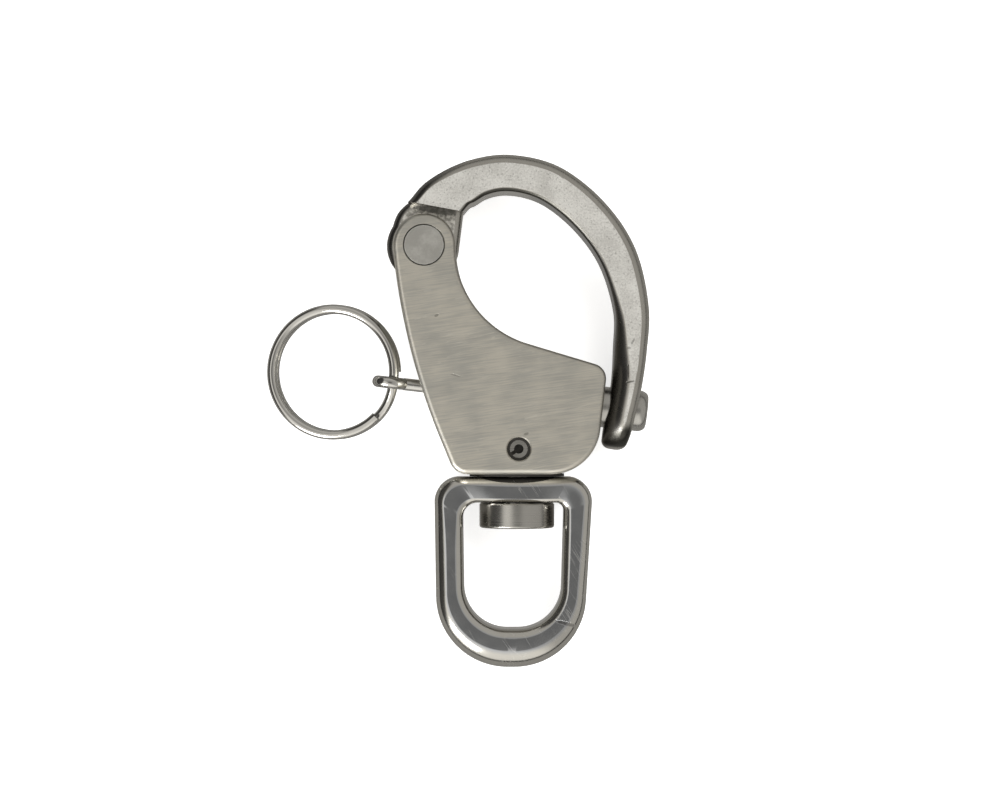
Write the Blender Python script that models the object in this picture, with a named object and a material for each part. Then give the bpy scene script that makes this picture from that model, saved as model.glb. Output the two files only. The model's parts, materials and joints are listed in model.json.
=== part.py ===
"""Swivel-eye snap shackle in stainless steel, lying flat on its back face.

Frame: the origin is on the body's back face, under the point where the swivel axis crosses the
plunger's axis. +Y runs up the swivel axis from the eye towards the bail, +X across the mouth from
the pull ring towards the bail's free end, and +Z up through the body's thickness.
Every piece is an object of its own; the pieces that move have their origin on their joint's axis.
"""

import math

import bmesh
import bpy
from mathutils import Matrix, Vector

MM = 0.001

# Fits: the gap on each side between two pieces
RUNNING_GAP = 0.15 * MM      # faces that turn or slide on each other
SEAT_GAP = 0.15 * MM         # faces that are pressed or screwed together

# Body casting
BODY_THICKNESS = 13.0 * MM
BODY_EDGE = 0.7 * MM
BODY_BOTTOM = 13.1 * MM      # from the plunger's axis down to the face the swivel eye turns under
PIVOT_X = -15.74 * MM
PIVOT_Y = 25.73 * MM
EAR_RADIUS = 5.3 * MM
FLANK_X = -19.37 * MM        # where the two halves of the long left flank would meet
FLANK_Y = 8.4 * MM
BLEND = 0.98                 # how much of a straight side the curve at its end takes up
EAR_BLEND = 0.995            # the same where the ear's two corners share one side
FOOT_X = -10.5 * MM          # lower left corner
FOOT_RADIUS = 3.3 * MM
HEEL_RADIUS = 8.5 * MM       # lower right corner
LIP_RADIUS = 2.6 * MM        # corner under the bail's free end
MOUTH_HEIGHT = 9.6 * MM      # the sloping top edge of the body, over the origin
MOUTH_SLOPE = math.radians(-16.9)
SLOT_FLOOR_CLEARANCE = 1.9 * MM
NECK_LEAN = math.radians(12.0)

# Plunger: nose, spring and pull rod on one axis, tilted down to the right
PLUNGER_TILT = math.radians(-6.5)
FACE_DISTANCE = 14.65 * MM   # origin to the body's right face, along the plunger's axis
NOSE_RADIUS = 3.5 * MM
NOSE_REACH = 7.75 * MM       # how far the nose stands out of the body's face
NOSE_INSIDE = 7.0 * MM
NOSE_TIP_CHAMFER = 1.1 * MM
NOSE_TIP_LENGTH = 1.4 * NOSE_TIP_CHAMFER
NOSE_TAIL_CHAMFER = 0.3 * MM
BORE_DEPTH = 24.0 * MM
ROD_RADIUS = 1.05 * MM
ROD_IN_NOSE = 4.5 * MM
ROD_EYE_X = -21.8 * MM       # centre of the rod's eye, along the plunger's axis
ROD_EYE_PLAY = 0.67 * MM     # the ring's wire lies loose in the eye's hole
ROD_EYE_WALL = 1.6 * MM
ROD_EYE_THICKNESS = 2 * ROD_RADIUS - 0.1 * MM
SPRING_WIRE = 0.7 * MM
SPRING_TURNS = 9
SPRING_SIDE_GAP = 0.35 * MM  # spring to the bore's wall

# Bail: the curved arm, from its shoulder over the mouth to the eye round the plunger's nose
BAIL_SETBACK = 0.5 * MM      # the arm's faces lie this far under the body's
BAIL_DEPTH = BODY_THICKNESS - 2 * BAIL_SETBACK
BAIL_EDGE = 1.1 * MM
BAIL_FACE_GAP = 0.9 * MM     # body's right face to the bail's eye
TANG_THICKNESS = 5.7 * MM
HUB_RADIUS = 6.15 * MM
HUB_SHIFT = 0.3 * MM         # the hub is cast a little to the left of the rivet
TANG_INSET = 0.2 * MM        # the tang's shoulder stays this far inside the arm's sides
TANG_BULGE = 0.5 * MM        # the tang's outer side swells past the straight line to the hub
NOSE_HOLE_GAP = 0.25 * MM
BAIL_TIP_BELOW_NOSE = 7.1 * MM
SHOULDER_OUTER = (PIVOT_X - 2.8 * MM, PIVOT_Y + 7.4 * MM)
SHOULDER_INNER = (PIVOT_X + 6.6 * MM, PIVOT_Y + 5.65 * MM)
SHOULDER_STATIONS = 2.8      # the arm has swung square to its centre line this many stations on
# The arm's centre line from the shoulder on: across from the pivot, up from the plunger, width.
# It is drawn for the reach and rise given here, and stretches with the real ones.
ARM_REACH = 33.6 * MM
ARM_RISE = 25.7 * MM
BAIL_STATIONS = (
    (4.2 * MM, 34.6 * MM, 8.9 * MM),
    (8.95 * MM, 37.15 * MM, 6.8 * MM),
    (14.7 * MM, 37.95 * MM, 6.35 * MM),
    (21.6 * MM, 36.1 * MM, 6.55 * MM),
    (28.2 * MM, 30.8 * MM, 6.6 * MM),
    (32.9 * MM, 23.9 * MM, 6.4 * MM),
    (35.2 * MM, 15.2 * MM, 5.8 * MM),
    (35.0 * MM, 8.0 * MM, 5.55 * MM),
    (34.4 * MM, 1.8 * MM, 5.05 * MM),
)
BAIL_END_LEAN = math.radians(10.5)
BAIL_EYE_WIDTH = 4.8 * MM
BAIL_DOME_SWEEP = math.radians(88.0)   # the domed tip stops just short of a knife edge
BAIL_DOME_NARROWING = 1.5 * MM         # how much the tip narrows over its dome
BAIL_DOME_OUTER_SHARE = 0.8            # most of that on its outer side

# Pivot rivet through the two ears and the bail's hub
PIVOT_SHANK_RADIUS = 2.5 * MM
PIVOT_HEAD_RADIUS = PIVOT_SHANK_RADIUS + 0.9 * MM
PIVOT_HEAD_HEIGHT = 1.4 * MM
PIVOT_FLUSH = 0.1 * MM       # the peened ends stay this far under the body's faces

# Swivel: bolt, retaining pin and eye on the Y axis
STEM_RADIUS = 3.0 * MM
BORE_WALL = 1.4 * MM         # left between the plunger's bore and the stem's hole
STEM_TOP = -NOSE_RADIUS - BORE_WALL
BOLT_HEAD_RADIUS = 6.4 * MM
BOLT_HEAD_HEIGHT = 4.25 * MM
BOLT_CHAMFER = 0.5 * MM
PIN_X = 0.3 * MM             # the cross hole is drilled a little off the swivel axis
PIN_Y = -8.8 * MM
PIN_RADIUS = 1.5 * MM
PIN_BORE_RADIUS = PIN_RADIUS - 0.7 * MM
PIN_SLIT = 0.6 * MM
PIN_RECESS = 0.8 * MM
PIN_COUNTERBORE_RADIUS = PIN_RADIUS + 0.5 * MM
PIN_COUNTERBORE_DEPTH = 0.9 * MM
EYE_TOP_GAP = 0.5 * MM       # body's bottom face to the swivel eye
EYE_TOP_BAR = 4.35 * MM
EYE_BOTTOM_BAR = 6.6 * MM
EYE_HEIGHT = 32.5 * MM
EYE_LEFT_TOP = -14.1 * MM
EYE_RIGHT_TOP = 13.05 * MM
EYE_LEFT_BOTTOM = -13.6 * MM
EYE_RIGHT_BOTTOM = 11.1 * MM
EYE_SIDE_BAR = 4.8 * MM
EYE_RIGHT_FOOT_BAR = 4.1 * MM  # the right bar is a little slimmer at its lower end
EYE_CORNER_RADIUS = 4.2 * MM
EYE_BEND_RADIUS = 12.2 * MM
EYE_CORNER_ROOM = 0.9        # share of the room beside the bolt's head its corners take up
EYE_SETBACK = 2.0 * MM       # its faces lie this far under the body's
EYE_BOSS_SETBACK = 1.5 * MM  # and this far under them on the top bar, round the bolt's stem
EYE_DEPTH = BODY_THICKNESS - 2 * EYE_SETBACK
EYE_BOSS_DEPTH = BODY_THICKNESS - 2 * EYE_BOSS_SETBACK
EYE_BOSS_START = 1.2 * STEM_RADIUS       # the boss thins down between these distances
EYE_BOSS_END = 2.0 * BOLT_HEAD_RADIUS    # from the stem's axis
EYE_EDGE = 1.6 * MM

# Split ring: the wire runs round in a lower turn, climbs, and ends in an upper turn
RING_RADIUS = 10.8 * MM      # to the middle of the wire
RING_WIRE_RADIUS = 0.83 * MM
ROD_EYE_HOLE_RADIUS = RING_WIRE_RADIUS + ROD_EYE_PLAY
RING_LAYER_GAP = 0.1 * MM
RING_CENTRE_Y = 4.3 * MM
RING_STRAND_X = -21.15 * MM  # where the wire passes through the rod's eye
RING_REST_GAP = 0.05 * MM    # the ring droops until it is this far off the table
RING_CLIMB = math.radians(45.0)

MID_Z = BODY_THICKNESS / 2
FULLEST_EDGE = 0.48          # the most of a bar's width or depth that one rounded edge takes
ALONG = Vector((math.cos(PLUNGER_TILT), math.sin(PLUNGER_TILT), 0.0))
ACROSS = Vector((-math.sin(PLUNGER_TILT), math.cos(PLUNGER_TILT), 0.0))
OVERRUN = 0.5 * MM           # how far a cutter runs past the face it opens


# ---- helpers ---------------------------------------------------------------------------------

def clear_scene():
    for old in list(bpy.data.objects):
        bpy.data.objects.remove(old, do_unlink=True)


def steel(name, grey, roughness):
    """A stainless steel finish: its shade and how blurred its reflections are."""
    material = bpy.data.materials.new(name)
    material.use_nodes = True
    shader = material.node_tree.nodes["Principled BSDF"]
    shader.inputs["Base Color"].default_value = (grey, grey * 0.985, grey * 0.94, 1.0)
    shader.inputs["Roughness"].default_value = roughness
    shader.inputs["Metallic"].default_value = 1.0
    return material


def place(name, mesh, material, origin=(0.0, 0.0, 0.0), turn=0.0):
    """Put a mesh in the scene under its name, at its own origin and turned about Z."""
    piece = bpy.data.objects.new(name, mesh)
    bpy.context.scene.collection.objects.link(piece)
    mesh.materials.append(material)
    mesh.shade_smooth()
    mesh.set_sharp_from_angle(angle=math.radians(35))
    piece.location = origin
    piece.rotation_euler = (0.0, 0.0, turn)
    return piece


def mesh_from(shape, name):
    """Close a bmesh up into a mesh with its faces pointing out."""
    bmesh.ops.recalc_face_normals(shape, faces=shape.faces)
    mesh = bpy.data.meshes.new(name)
    shape.to_mesh(mesh)
    shape.free()
    return mesh


def tool(name, mesh, piece):
    """A shape that only cuts or adds to a piece: it moves with the piece and isn't built itself."""
    helper = bpy.data.objects.new(name, mesh)
    bpy.context.scene.collection.objects.link(helper)
    helper.location = piece.location
    helper.rotation_euler = piece.rotation_euler
    helper.hide_render = True
    helper.display_type = "WIRE"
    return helper


def boolean(piece, name, mesh, operation="DIFFERENCE"):
    step = piece.modifiers.new(name, "BOOLEAN")
    step.operation = operation
    step.solver = "EXACT"
    step.object = tool(f"{piece.name}_{name}", mesh, piece)


def rounded(corners, step=math.radians(12), chord=2.5 * MM):
    """A closed outline through (x, y, radius) corners, each rounded by a tangent arc."""
    points = []
    for i, (x, y, radius) in enumerate(corners):
        here = Vector((x, y))
        back = (Vector(corners[i - 1][:2]) - here).normalized()
        ahead = (Vector(corners[(i + 1) % len(corners)][:2]) - here).normalized()
        half = back.angle(ahead) / 2
        turn = math.pi - 2 * half
        if radius <= 0 or turn < math.radians(0.5):
            points.append(here)
            continue
        centre = here + (back + ahead).normalized() * (radius / math.sin(half))
        first = here + back * (radius / math.tan(half)) - centre
        way = 1.0 if back.cross(ahead) < 0 else -1.0
        count = max(2, math.ceil(turn / step), math.ceil(turn * radius / chord))
        for n in range(count + 1):
            angle = way * turn * n / count
            points.append(centre + Matrix.Rotation(angle, 2) @ first)
    return points


def slab(outline, low, high):
    """An outline in XY pulled up from z = low to z = high."""
    shape = bmesh.new()
    bottom = [shape.verts.new((p[0], p[1], low)) for p in outline]
    base = shape.faces.new(bottom)
    pulled = bmesh.ops.extrude_face_region(shape, geom=[base])["geom"]
    lifted = [v for v in pulled if isinstance(v, bmesh.types.BMVert)]
    bmesh.ops.translate(shape, verts=lifted, vec=(0.0, 0.0, high - low))
    return shape


def soften_rims(shape, low, high, width, segments=2):
    """Round the rims of a slab where its flat faces meet its sides."""
    rims = [
        e for e in shape.edges
        if all(abs(v.co.z - low) < 1e-7 for v in e.verts) or all(abs(v.co.z - high) < 1e-7 for v in e.verts)
    ]
    bmesh.ops.bevel(
        shape, geom=rims, offset=width, segments=segments, profile=0.5, affect="EDGES",
        clamp_overlap=False,
    )
    return shape


def turned(profile, sides=40):
    """A solid turned about its Z axis; the profile is (radius, z) from one end to the other."""
    shape = bmesh.new()
    rings = []
    for radius, z in profile:
        if radius == 0:
            rings.append([shape.verts.new((0.0, 0.0, z))] * sides)
            continue
        rings.append([
            shape.verts.new((
                radius * math.cos(math.tau * n / sides), radius * math.sin(math.tau * n / sides), z,
            ))
            for n in range(sides)
        ])
    for ring, following in zip(rings, rings[1:]):
        for n in range(sides):
            m = (n + 1) % sides
            corners = list(dict.fromkeys((ring[n], ring[m], following[m], following[n])))
            shape.faces.new(corners)
    for ring in (rings[0], rings[-1]):
        if ring[0] is not ring[1]:
            shape.faces.new(ring)
    return shape


def rod(radius, low, high, sides=40):
    return turned([(radius, low), (radius, high)], sides)


def lay(shape, direction, origin):
    """Turn a shape made about Z so that its axis runs along a direction through an origin."""
    turn = Vector(direction).to_track_quat("Z", "X").to_matrix().to_4x4()
    shape.transform(Matrix.Translation(origin) @ turn)
    return shape


def sweep(sections, closed):
    """A skin over sections that all have the same number of points, open ends closed by a face."""
    shape = bmesh.new()
    rings = [[shape.verts.new(p) for p in section] for section in sections]
    pairs = list(zip(rings, rings[1:]))
    if closed:
        pairs.append((rings[-1], rings[0]))
    for ring, following in pairs:
        for n in range(len(ring)):
            m = (n + 1) % len(ring)
            shape.faces.new((ring[n], ring[m], following[m], following[n]))
    if not closed:
        shape.faces.new(rings[0])
        shape.faces.new(rings[-1])
    return shape


def bar_section(outer, inner, depth, edge):
    """A rounded rectangle standing on the line from an outer to an inner point of a flat bar."""
    width = (inner - outer).length
    side = (inner - outer).normalized()
    edge = min(edge, FULLEST_EDGE * width, FULLEST_EDGE * depth)
    low, high = MID_Z - depth / 2, MID_Z + depth / 2
    frame = [(0.0, low, edge), (width, low, edge), (width, high, edge), (0.0, high, edge)]
    section = []
    for across, z in rounded(frame, math.radians(30)):
        point = outer + side * across
        section.append((point.x, point.y, z))
    return section


def smooth(share):
    """0 to 1 with a soft start and a soft end."""
    share = min(max(share, 0.0), 1.0)
    return share * share * (3 - 2 * share)


def through(values, share):
    """A smooth curve through a list of values at even steps; share runs from 0 to 1."""
    position = share * (len(values) - 1)
    i = min(int(position), len(values) - 2)
    t = position - i
    before = values[i - 1] if i > 0 else values[0] * 2 - values[1]
    after = values[i + 2] if i + 2 < len(values) else values[-1] * 2 - values[-2]
    a, b = values[i], values[i + 1]
    return (
        a * 2 + (b - before) * t + (before * 2 - a * 5 + b * 4 - after) * t**2
        + (a * 3 - before - b * 3 + after) * t**3
    ) / 2


def plunger_point(along, across=0.0, z=MID_Z):
    """A point in the plunger's own directions, measured from the origin."""
    point = ALONG * along + ACROSS * across
    return Vector((point.x, point.y, z))


# ---- body ------------------------------------------------------------------------------------

def body_corners():
    """The casting's outline from its lower left corner round: x, y, corner radius."""
    def on_face(y):
        """The right face is square to the plunger, so it leans over."""
        return (FACE_DISTANCE - y * math.sin(PLUNGER_TILT)) / math.cos(PLUNGER_TILT)

    def on_mouth(x):
        return MOUTH_HEIGHT + x * math.tan(MOUTH_SLOPE)

    lean = -math.tan(PLUNGER_TILT)
    lip_x = (on_face(0.0) + lean * MOUTH_HEIGHT) / (1 - lean * math.tan(MOUTH_SLOPE))
    ear_right = PIVOT_X + EAR_RADIUS
    ear_top = PIVOT_Y + EAR_RADIUS
    to_pivot = Vector((PIVOT_X - FLANK_X, PIVOT_Y - FLANK_Y))
    heading = math.atan2(to_pivot.y, to_pivot.x) + math.asin(EAR_RADIUS / to_pivot.length)
    ear_left = FLANK_X + (ear_top - FLANK_Y) / math.tan(heading)
    ear_corner = EAR_RADIUS * EAR_BLEND

    # the flank and the neck curve as gently as the straight beside the ear allows
    flank_turn = math.atan2(FLANK_Y + BODY_BOTTOM, FLANK_X - FOOT_X) - heading
    flank_straight = math.sqrt(to_pivot.length_squared - EAR_RADIUS**2)
    flank_radius = BLEND * flank_straight / math.tan(flank_turn / 2)
    neck_straight = PIVOT_Y - on_mouth(ear_right)
    neck_radius = BLEND * neck_straight * math.tan((math.pi / 2 - MOUTH_SLOPE) / 2)
    return [
        (FOOT_X, -BODY_BOTTOM, FOOT_RADIUS),
        (on_face(-BODY_BOTTOM), -BODY_BOTTOM, HEEL_RADIUS),
        (lip_x, on_mouth(lip_x), LIP_RADIUS),
        (ear_right, on_mouth(ear_right), neck_radius),
        (ear_right, ear_top, ear_corner),
        (ear_left, ear_top, ear_corner),
        (FLANK_X, FLANK_Y, flank_radius),
    ]


def make_body(finish):
    outline = rounded(body_corners(), math.radians(9))
    shape = soften_rims(slab(outline, 0.0, BODY_THICKNESS), 0.0, BODY_THICKNESS, BODY_EDGE)
    body = place("body", mesh_from(shape, "body"), finish)

    # fork slot for the bail's tang, square to the leaning neck
    slot_half = TANG_THICKNESS / 2 + RUNNING_GAP
    depth = HUB_RADIUS + SLOT_FLOOR_CLEARANCE
    reach = 3 * EAR_RADIUS
    box = [(-reach, -depth), (reach, -depth), (reach, reach), (-reach, reach)]
    slot = slab([Vector(p) for p in box], MID_Z - slot_half, MID_Z + slot_half)
    slot.transform(Matrix.Translation((PIVOT_X, PIVOT_Y, 0.0)) @ Matrix.Rotation(NECK_LEAN, 4, "Z"))
    boolean(body, "slot", mesh_from(slot, "slot"))

    # one turned cutter for the rivet: shank hole and a seat for each head
    shank = PIVOT_SHANK_RADIUS + RUNNING_GAP
    seat = PIVOT_HEAD_RADIUS + SEAT_GAP
    floor = PIVOT_HEAD_HEIGHT + PIVOT_FLUSH + SEAT_GAP
    profile = [
        (seat, -OVERRUN), (seat, floor), (shank, floor), (shank, BODY_THICKNESS - floor),
        (seat, BODY_THICKNESS - floor), (seat, BODY_THICKNESS + OVERRUN),
    ]
    rivet_hole = lay(turned(profile), (0, 0, 1), (PIVOT_X, PIVOT_Y, 0.0))
    boolean(body, "rivet_hole", mesh_from(rivet_hole, "rivet_hole"))

    # stepped bore for the nose, the spring and the rod
    bore = NOSE_RADIUS + RUNNING_GAP
    guide = ROD_RADIUS + RUNNING_GAP
    floor = FACE_DISTANCE - BORE_DEPTH
    profile = [
        (guide, ROD_EYE_X), (guide, floor), (bore, floor), (bore, FACE_DISTANCE + 4 * OVERRUN),
    ]
    plunger_bore = lay(turned(profile), ALONG, (0.0, 0.0, MID_Z))
    boolean(body, "plunger_bore", mesh_from(plunger_bore, "plunger_bore"))

    # blind hole for the bolt's stem, from below
    stem_hole = rod(STEM_RADIUS + SEAT_GAP, -BODY_BOTTOM - OVERRUN, STEM_TOP + SEAT_GAP)
    lay(stem_hole, (0, 1, 0), (0.0, 0.0, MID_Z))
    boolean(body, "stem_hole", mesh_from(stem_hole, "stem_hole"))

    # cross hole for the retaining pin, widened at both faces
    hole = PIN_RADIUS + SEAT_GAP
    wide = PIN_COUNTERBORE_RADIUS
    deep = PIN_COUNTERBORE_DEPTH
    profile = [
        (wide, -OVERRUN), (wide, deep), (hole, deep), (hole, BODY_THICKNESS - deep),
        (wide, BODY_THICKNESS - deep), (wide, BODY_THICKNESS + OVERRUN),
    ]
    pin_hole = lay(turned(profile, 28), (0, 0, 1), (PIN_X, PIN_Y, 0.0))
    boolean(body, "pin_hole", mesh_from(pin_hole, "pin_hole"))
    return body


# ---- bail and its rivet ----------------------------------------------------------------------

def bail_eye_centre():
    """Where the plunger's axis crosses the middle of the bail's free end."""
    return plunger_point(FACE_DISTANCE + BAIL_FACE_GAP + BAIL_EYE_WIDTH / 2).to_2d()


def bail_sections(steps_each=4, dome_steps=6):
    """The arm as pairs of outer and inner points with the arm's depth there, then its domed tip."""
    start_outer, start_inner = Vector(SHOULDER_OUTER), Vector(SHOULDER_INNER)
    eye = bail_eye_centre()
    down = Vector((-math.sin(BAIL_END_LEAN), -math.cos(BAIL_END_LEAN)))
    half_depth = BAIL_DEPTH / 2
    dome_start = BAIL_TIP_BELOW_NOSE - half_depth
    centres = [(start_outer + start_inner) / 2]
    widths = [(start_outer - start_inner).length]
    across = (eye.x - PIVOT_X) / ARM_REACH
    up = PIVOT_Y / ARM_RISE
    for x, y, width in BAIL_STATIONS:
        centres.append(Vector((PIVOT_X + x * across, y * up)))
        widths.append(width)
    centres.append(eye + down * dome_start)
    widths.append(BAIL_EYE_WIDTH)
    first_way = (start_outer - start_inner).normalized()
    count = (len(centres) - 1) * steps_each
    sections = []
    for n in range(count + 1):
        share = n / count
        centre = through(centres, share)
        ahead = through(centres, min(share + 1e-4, 1.0)) - through(centres, max(share - 1e-4, 0.0))
        outward = Vector((-ahead.y, ahead.x)).normalized()
        turned_out = smooth(share * (len(centres) - 1) / SHOULDER_STATIONS)
        outward = first_way.lerp(outward, turned_out).normalized()
        half = through(widths, share) / 2
        sections.append((centre + outward * half, centre - outward * half, BAIL_DEPTH))
    outward = Vector((-down.y, down.x))
    for n in range(1, dome_steps + 1):
        angle = BAIL_DOME_SWEEP * n / dome_steps
        centre = centres[-1] + down * (half_depth * math.sin(angle))
        narrowing = BAIL_DOME_NARROWING * (1 - math.cos(angle))
        outer = centre + outward * (BAIL_EYE_WIDTH / 2 - narrowing * BAIL_DOME_OUTER_SHARE)
        inner = centre - outward * (BAIL_EYE_WIDTH / 2 - narrowing * (1 - BAIL_DOME_OUTER_SHARE))
        sections.append((outer, inner, BAIL_DEPTH * math.cos(angle)))
    return sections


def make_bail(finish):
    pivot = Vector((PIVOT_X, PIVOT_Y, 0.0))
    stations = bail_sections()
    arm = sweep([bar_section(*station, BAIL_EDGE) for station in stations], closed=False)
    arm.transform(Matrix.Translation(-pivot))
    bail = place("bail", mesh_from(arm, "bail"), finish, pivot)

    # thin tang: from a little way inside the arm down round the rivet
    outer, inner, _ = stations[2]
    across = (inner - outer).normalized() * TANG_INSET * 2
    shoulder = (Vector(SHOULDER_INNER) - Vector(SHOULDER_OUTER)).normalized() * TANG_INSET
    root = [Vector(SHOULDER_INNER) - shoulder, inner - across, outer + across]
    root.append(Vector(SHOULDER_OUTER) + shoulder)
    outline = [point - pivot.to_2d() for point in root]
    outline += hub_side(outline[-1], outline[0])
    tang = slab(outline, MID_Z - TANG_THICKNESS / 2, MID_Z + TANG_THICKNESS / 2)
    boolean(bail, "tang", mesh_from(tang, "tang"), "UNION")

    rivet_hole = rod(PIVOT_SHANK_RADIUS + RUNNING_GAP, 0.0, BODY_THICKNESS)
    boolean(bail, "rivet_hole", mesh_from(rivet_hole, "rivet_hole"))

    eye = bail_eye_centre()
    reach = BAIL_EYE_WIDTH
    nose_hole = rod(NOSE_RADIUS + NOSE_HOLE_GAP, -reach, reach)
    lay(nose_hole, ALONG, Vector((eye.x, eye.y, MID_Z)) - pivot)
    boolean(bail, "nose_hole", mesh_from(nose_hole, "nose_hole"))
    return bail


def hub_side(left, right, step=math.radians(12)):
    """The tang's outline from its left shoulder corner round the hub to the right corner."""
    centre = Vector((-HUB_SHIFT, 0.0))
    to_left, to_right = left - centre, right - centre
    start = math.atan2(to_left.y, to_left.x) + math.acos(HUB_RADIUS / to_left.length)
    end = math.atan2(to_right.y, to_right.x) - math.acos(HUB_RADIUS / to_right.length) + math.tau
    count = math.ceil((end - start) / step)
    arc = []
    for n in range(count + 1):
        angle = start + (end - start) * n / count
        arc.append(centre + Vector((math.cos(angle), math.sin(angle))) * HUB_RADIUS)
    straight = arc[0] - left
    swell = Vector((straight.y, -straight.x)).normalized() * TANG_BULGE
    side = [left + straight * share + swell * math.sin(math.pi * share) for share in (0.25, 0.5, 0.75)]
    return side + arc


def make_pivot_rivet(finish):
    head = PIVOT_HEAD_RADIUS
    low = PIVOT_FLUSH
    high = BODY_THICKNESS - PIVOT_FLUSH
    profile = [
        (head, low), (head, low + PIVOT_HEAD_HEIGHT), (PIVOT_SHANK_RADIUS, low + PIVOT_HEAD_HEIGHT),
        (PIVOT_SHANK_RADIUS, high - PIVOT_HEAD_HEIGHT), (head, high - PIVOT_HEAD_HEIGHT), (head, high),
    ]
    mesh = mesh_from(turned(profile), "pivot_rivet")
    return place("pivot_rivet", mesh, finish, (PIVOT_X, PIVOT_Y, 0.0))


# ---- plunger ---------------------------------------------------------------------------------

def make_nose(finish):
    """Turned nose with a chamfered tip and a blind hole in its back for the rod's end."""
    tail = FACE_DISTANCE - NOSE_INSIDE
    tip = FACE_DISTANCE + NOSE_REACH
    hole = ROD_RADIUS + SEAT_GAP
    hole_end = tail + ROD_IN_NOSE + SEAT_GAP
    profile = [
        (0.0, hole_end), (hole, hole_end), (hole, tail), (NOSE_RADIUS - NOSE_TAIL_CHAMFER, tail),
        (NOSE_RADIUS, tail + NOSE_TAIL_CHAMFER), (NOSE_RADIUS, tip - NOSE_TIP_LENGTH),
        (NOSE_RADIUS - NOSE_TIP_CHAMFER / 3, tip - NOSE_TIP_LENGTH / 3),
        (NOSE_RADIUS - NOSE_TIP_CHAMFER, tip), (0.0, tip),
    ]
    return place_on_plunger("plunger_nose", turned(profile, 36), finish)


def place_on_plunger(name, shape, finish):
    """Lay a shape made about Z along the plunger, with its own origin on the plunger's axis."""
    lay(shape, (1, 0, 0), (0, 0, 0))
    return place(name, mesh_from(shape, name), finish, (0.0, 0.0, MID_Z), PLUNGER_TILT)


def make_pull_rod(finish):
    """Thin rod from the nose out through the body's left wall, ending in an eye for the ring."""
    end = FACE_DISTANCE - NOSE_INSIDE + ROD_IN_NOSE
    outer = ROD_EYE_HOLE_RADIUS + ROD_EYE_WALL
    start = ROD_EYE_X + ROD_EYE_HOLE_RADIUS + ROD_EYE_WALL / 2
    rod_piece = place_on_plunger("pull_rod", rod(ROD_RADIUS, start, end, 20), finish)
    half = ROD_EYE_THICKNESS / 2
    edge = ROD_EYE_THICKNESS * 0.3
    profile = [
        (outer - edge, -half), (outer, -half + edge), (outer, half - edge), (outer - edge, half),
    ]
    eye = lay(turned(profile, 28), (0, 1, 0), (ROD_EYE_X, 0.0, 0.0))
    boolean(rod_piece, "eye", mesh_from(eye, "eye"), "UNION")
    hole = lay(rod(ROD_EYE_HOLE_RADIUS, -2 * half, 2 * half, 24), (0, 1, 0), (ROD_EYE_X, 0.0, 0.0))
    boolean(rod_piece, "eye_hole", mesh_from(hole, "eye_hole"))
    return rod_piece


def make_spring(finish, steps_a_turn=14, sides=6):
    """Compression spring from the bore's floor to the nose's back, its end coils lying closed."""
    floor = FACE_DISTANCE - BORE_DEPTH + SEAT_GAP
    back = FACE_DISTANCE - NOSE_INSIDE - SEAT_GAP
    half = SPRING_WIRE / 2
    middle = NOSE_RADIUS + RUNNING_GAP - SPRING_SIDE_GAP - half
    closed_step = SPRING_WIRE + RUNNING_GAP
    low = floor + half
    high = back - half
    open_rise = high - low - 2 * closed_step
    sections = []
    count = SPRING_TURNS * steps_a_turn
    for n in range(count + 1):
        turn = n / steps_a_turn
        open_turns = min(max(turn - 1, 0), SPRING_TURNS - 2)
        end_turns = turn - open_turns
        along = low + closed_step * end_turns + open_rise * open_turns / (SPRING_TURNS - 2)
        angle = math.tau * turn
        radial = Vector((math.cos(angle), math.sin(angle), 0.0))
        section = []
        for k in range(sides):
            swing = math.tau * k / sides
            reach = radial * (middle + half * math.cos(swing))
            section.append((reach.x, reach.y, along + half * math.sin(swing)))
        sections.append(section)
    return place_on_plunger("plunger_spring", sweep(sections, closed=False), finish)


def make_pull_ring(finish, step=math.radians(9), sides=10):
    """Split ring: nearly two turns of wire, whose single stretch passes through the rod's eye."""
    lift = RING_WIRE_RADIUS + RING_LAYER_GAP / 2
    strand_y = RING_STRAND_X * math.tan(PLUNGER_TILT)
    eye_angle = math.asin((strand_y - RING_CENTRE_Y) / RING_RADIUS)
    climb_end = math.tau
    climb_start = math.tau - RING_CLIMB
    total = 2 * math.tau - RING_CLIMB

    def layer(angle):
        return lift * (2 * smooth((angle - climb_start) / (climb_end - climb_start)) - 1)

    count = math.ceil(total / step)
    sections = []
    for n in range(count + 1):
        angle = total * n / count
        outward = Vector((math.cos(angle), math.sin(angle), 0.0))
        section = []
        for k in range(sides):
            swing = math.tau * k / sides
            point = outward * (RING_RADIUS + RING_WIRE_RADIUS * math.cos(swing))
            point.z = layer(angle) + RING_WIRE_RADIUS * math.sin(swing)
            section.append(point)
        sections.append(section)
    ring = sweep(sections, closed=False)
    strand = Vector((math.cos(eye_angle), math.sin(eye_angle), 0.0)) * RING_RADIUS
    strand.z = layer(math.tau + eye_angle)
    tilt = ring_droop(strand.x + RING_RADIUS, strand.z + lift + RING_WIRE_RADIUS)
    ring.transform(Matrix.Rotation(-tilt, 4, "Y") @ Matrix.Translation(-strand))
    origin = (RING_STRAND_X, strand_y, MID_Z)
    return place("pull_ring", mesh_from(ring, "pull_ring"), finish, origin)


def ring_droop(out, under):
    """How far the ring tips down: its far side is so far out from and under the strand."""
    return math.asin((MID_Z - RING_REST_GAP) / math.hypot(out, under)) - math.atan2(under, out)


# ---- swivel ----------------------------------------------------------------------------------

def eye_top():
    return -BODY_BOTTOM - EYE_TOP_GAP


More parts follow.
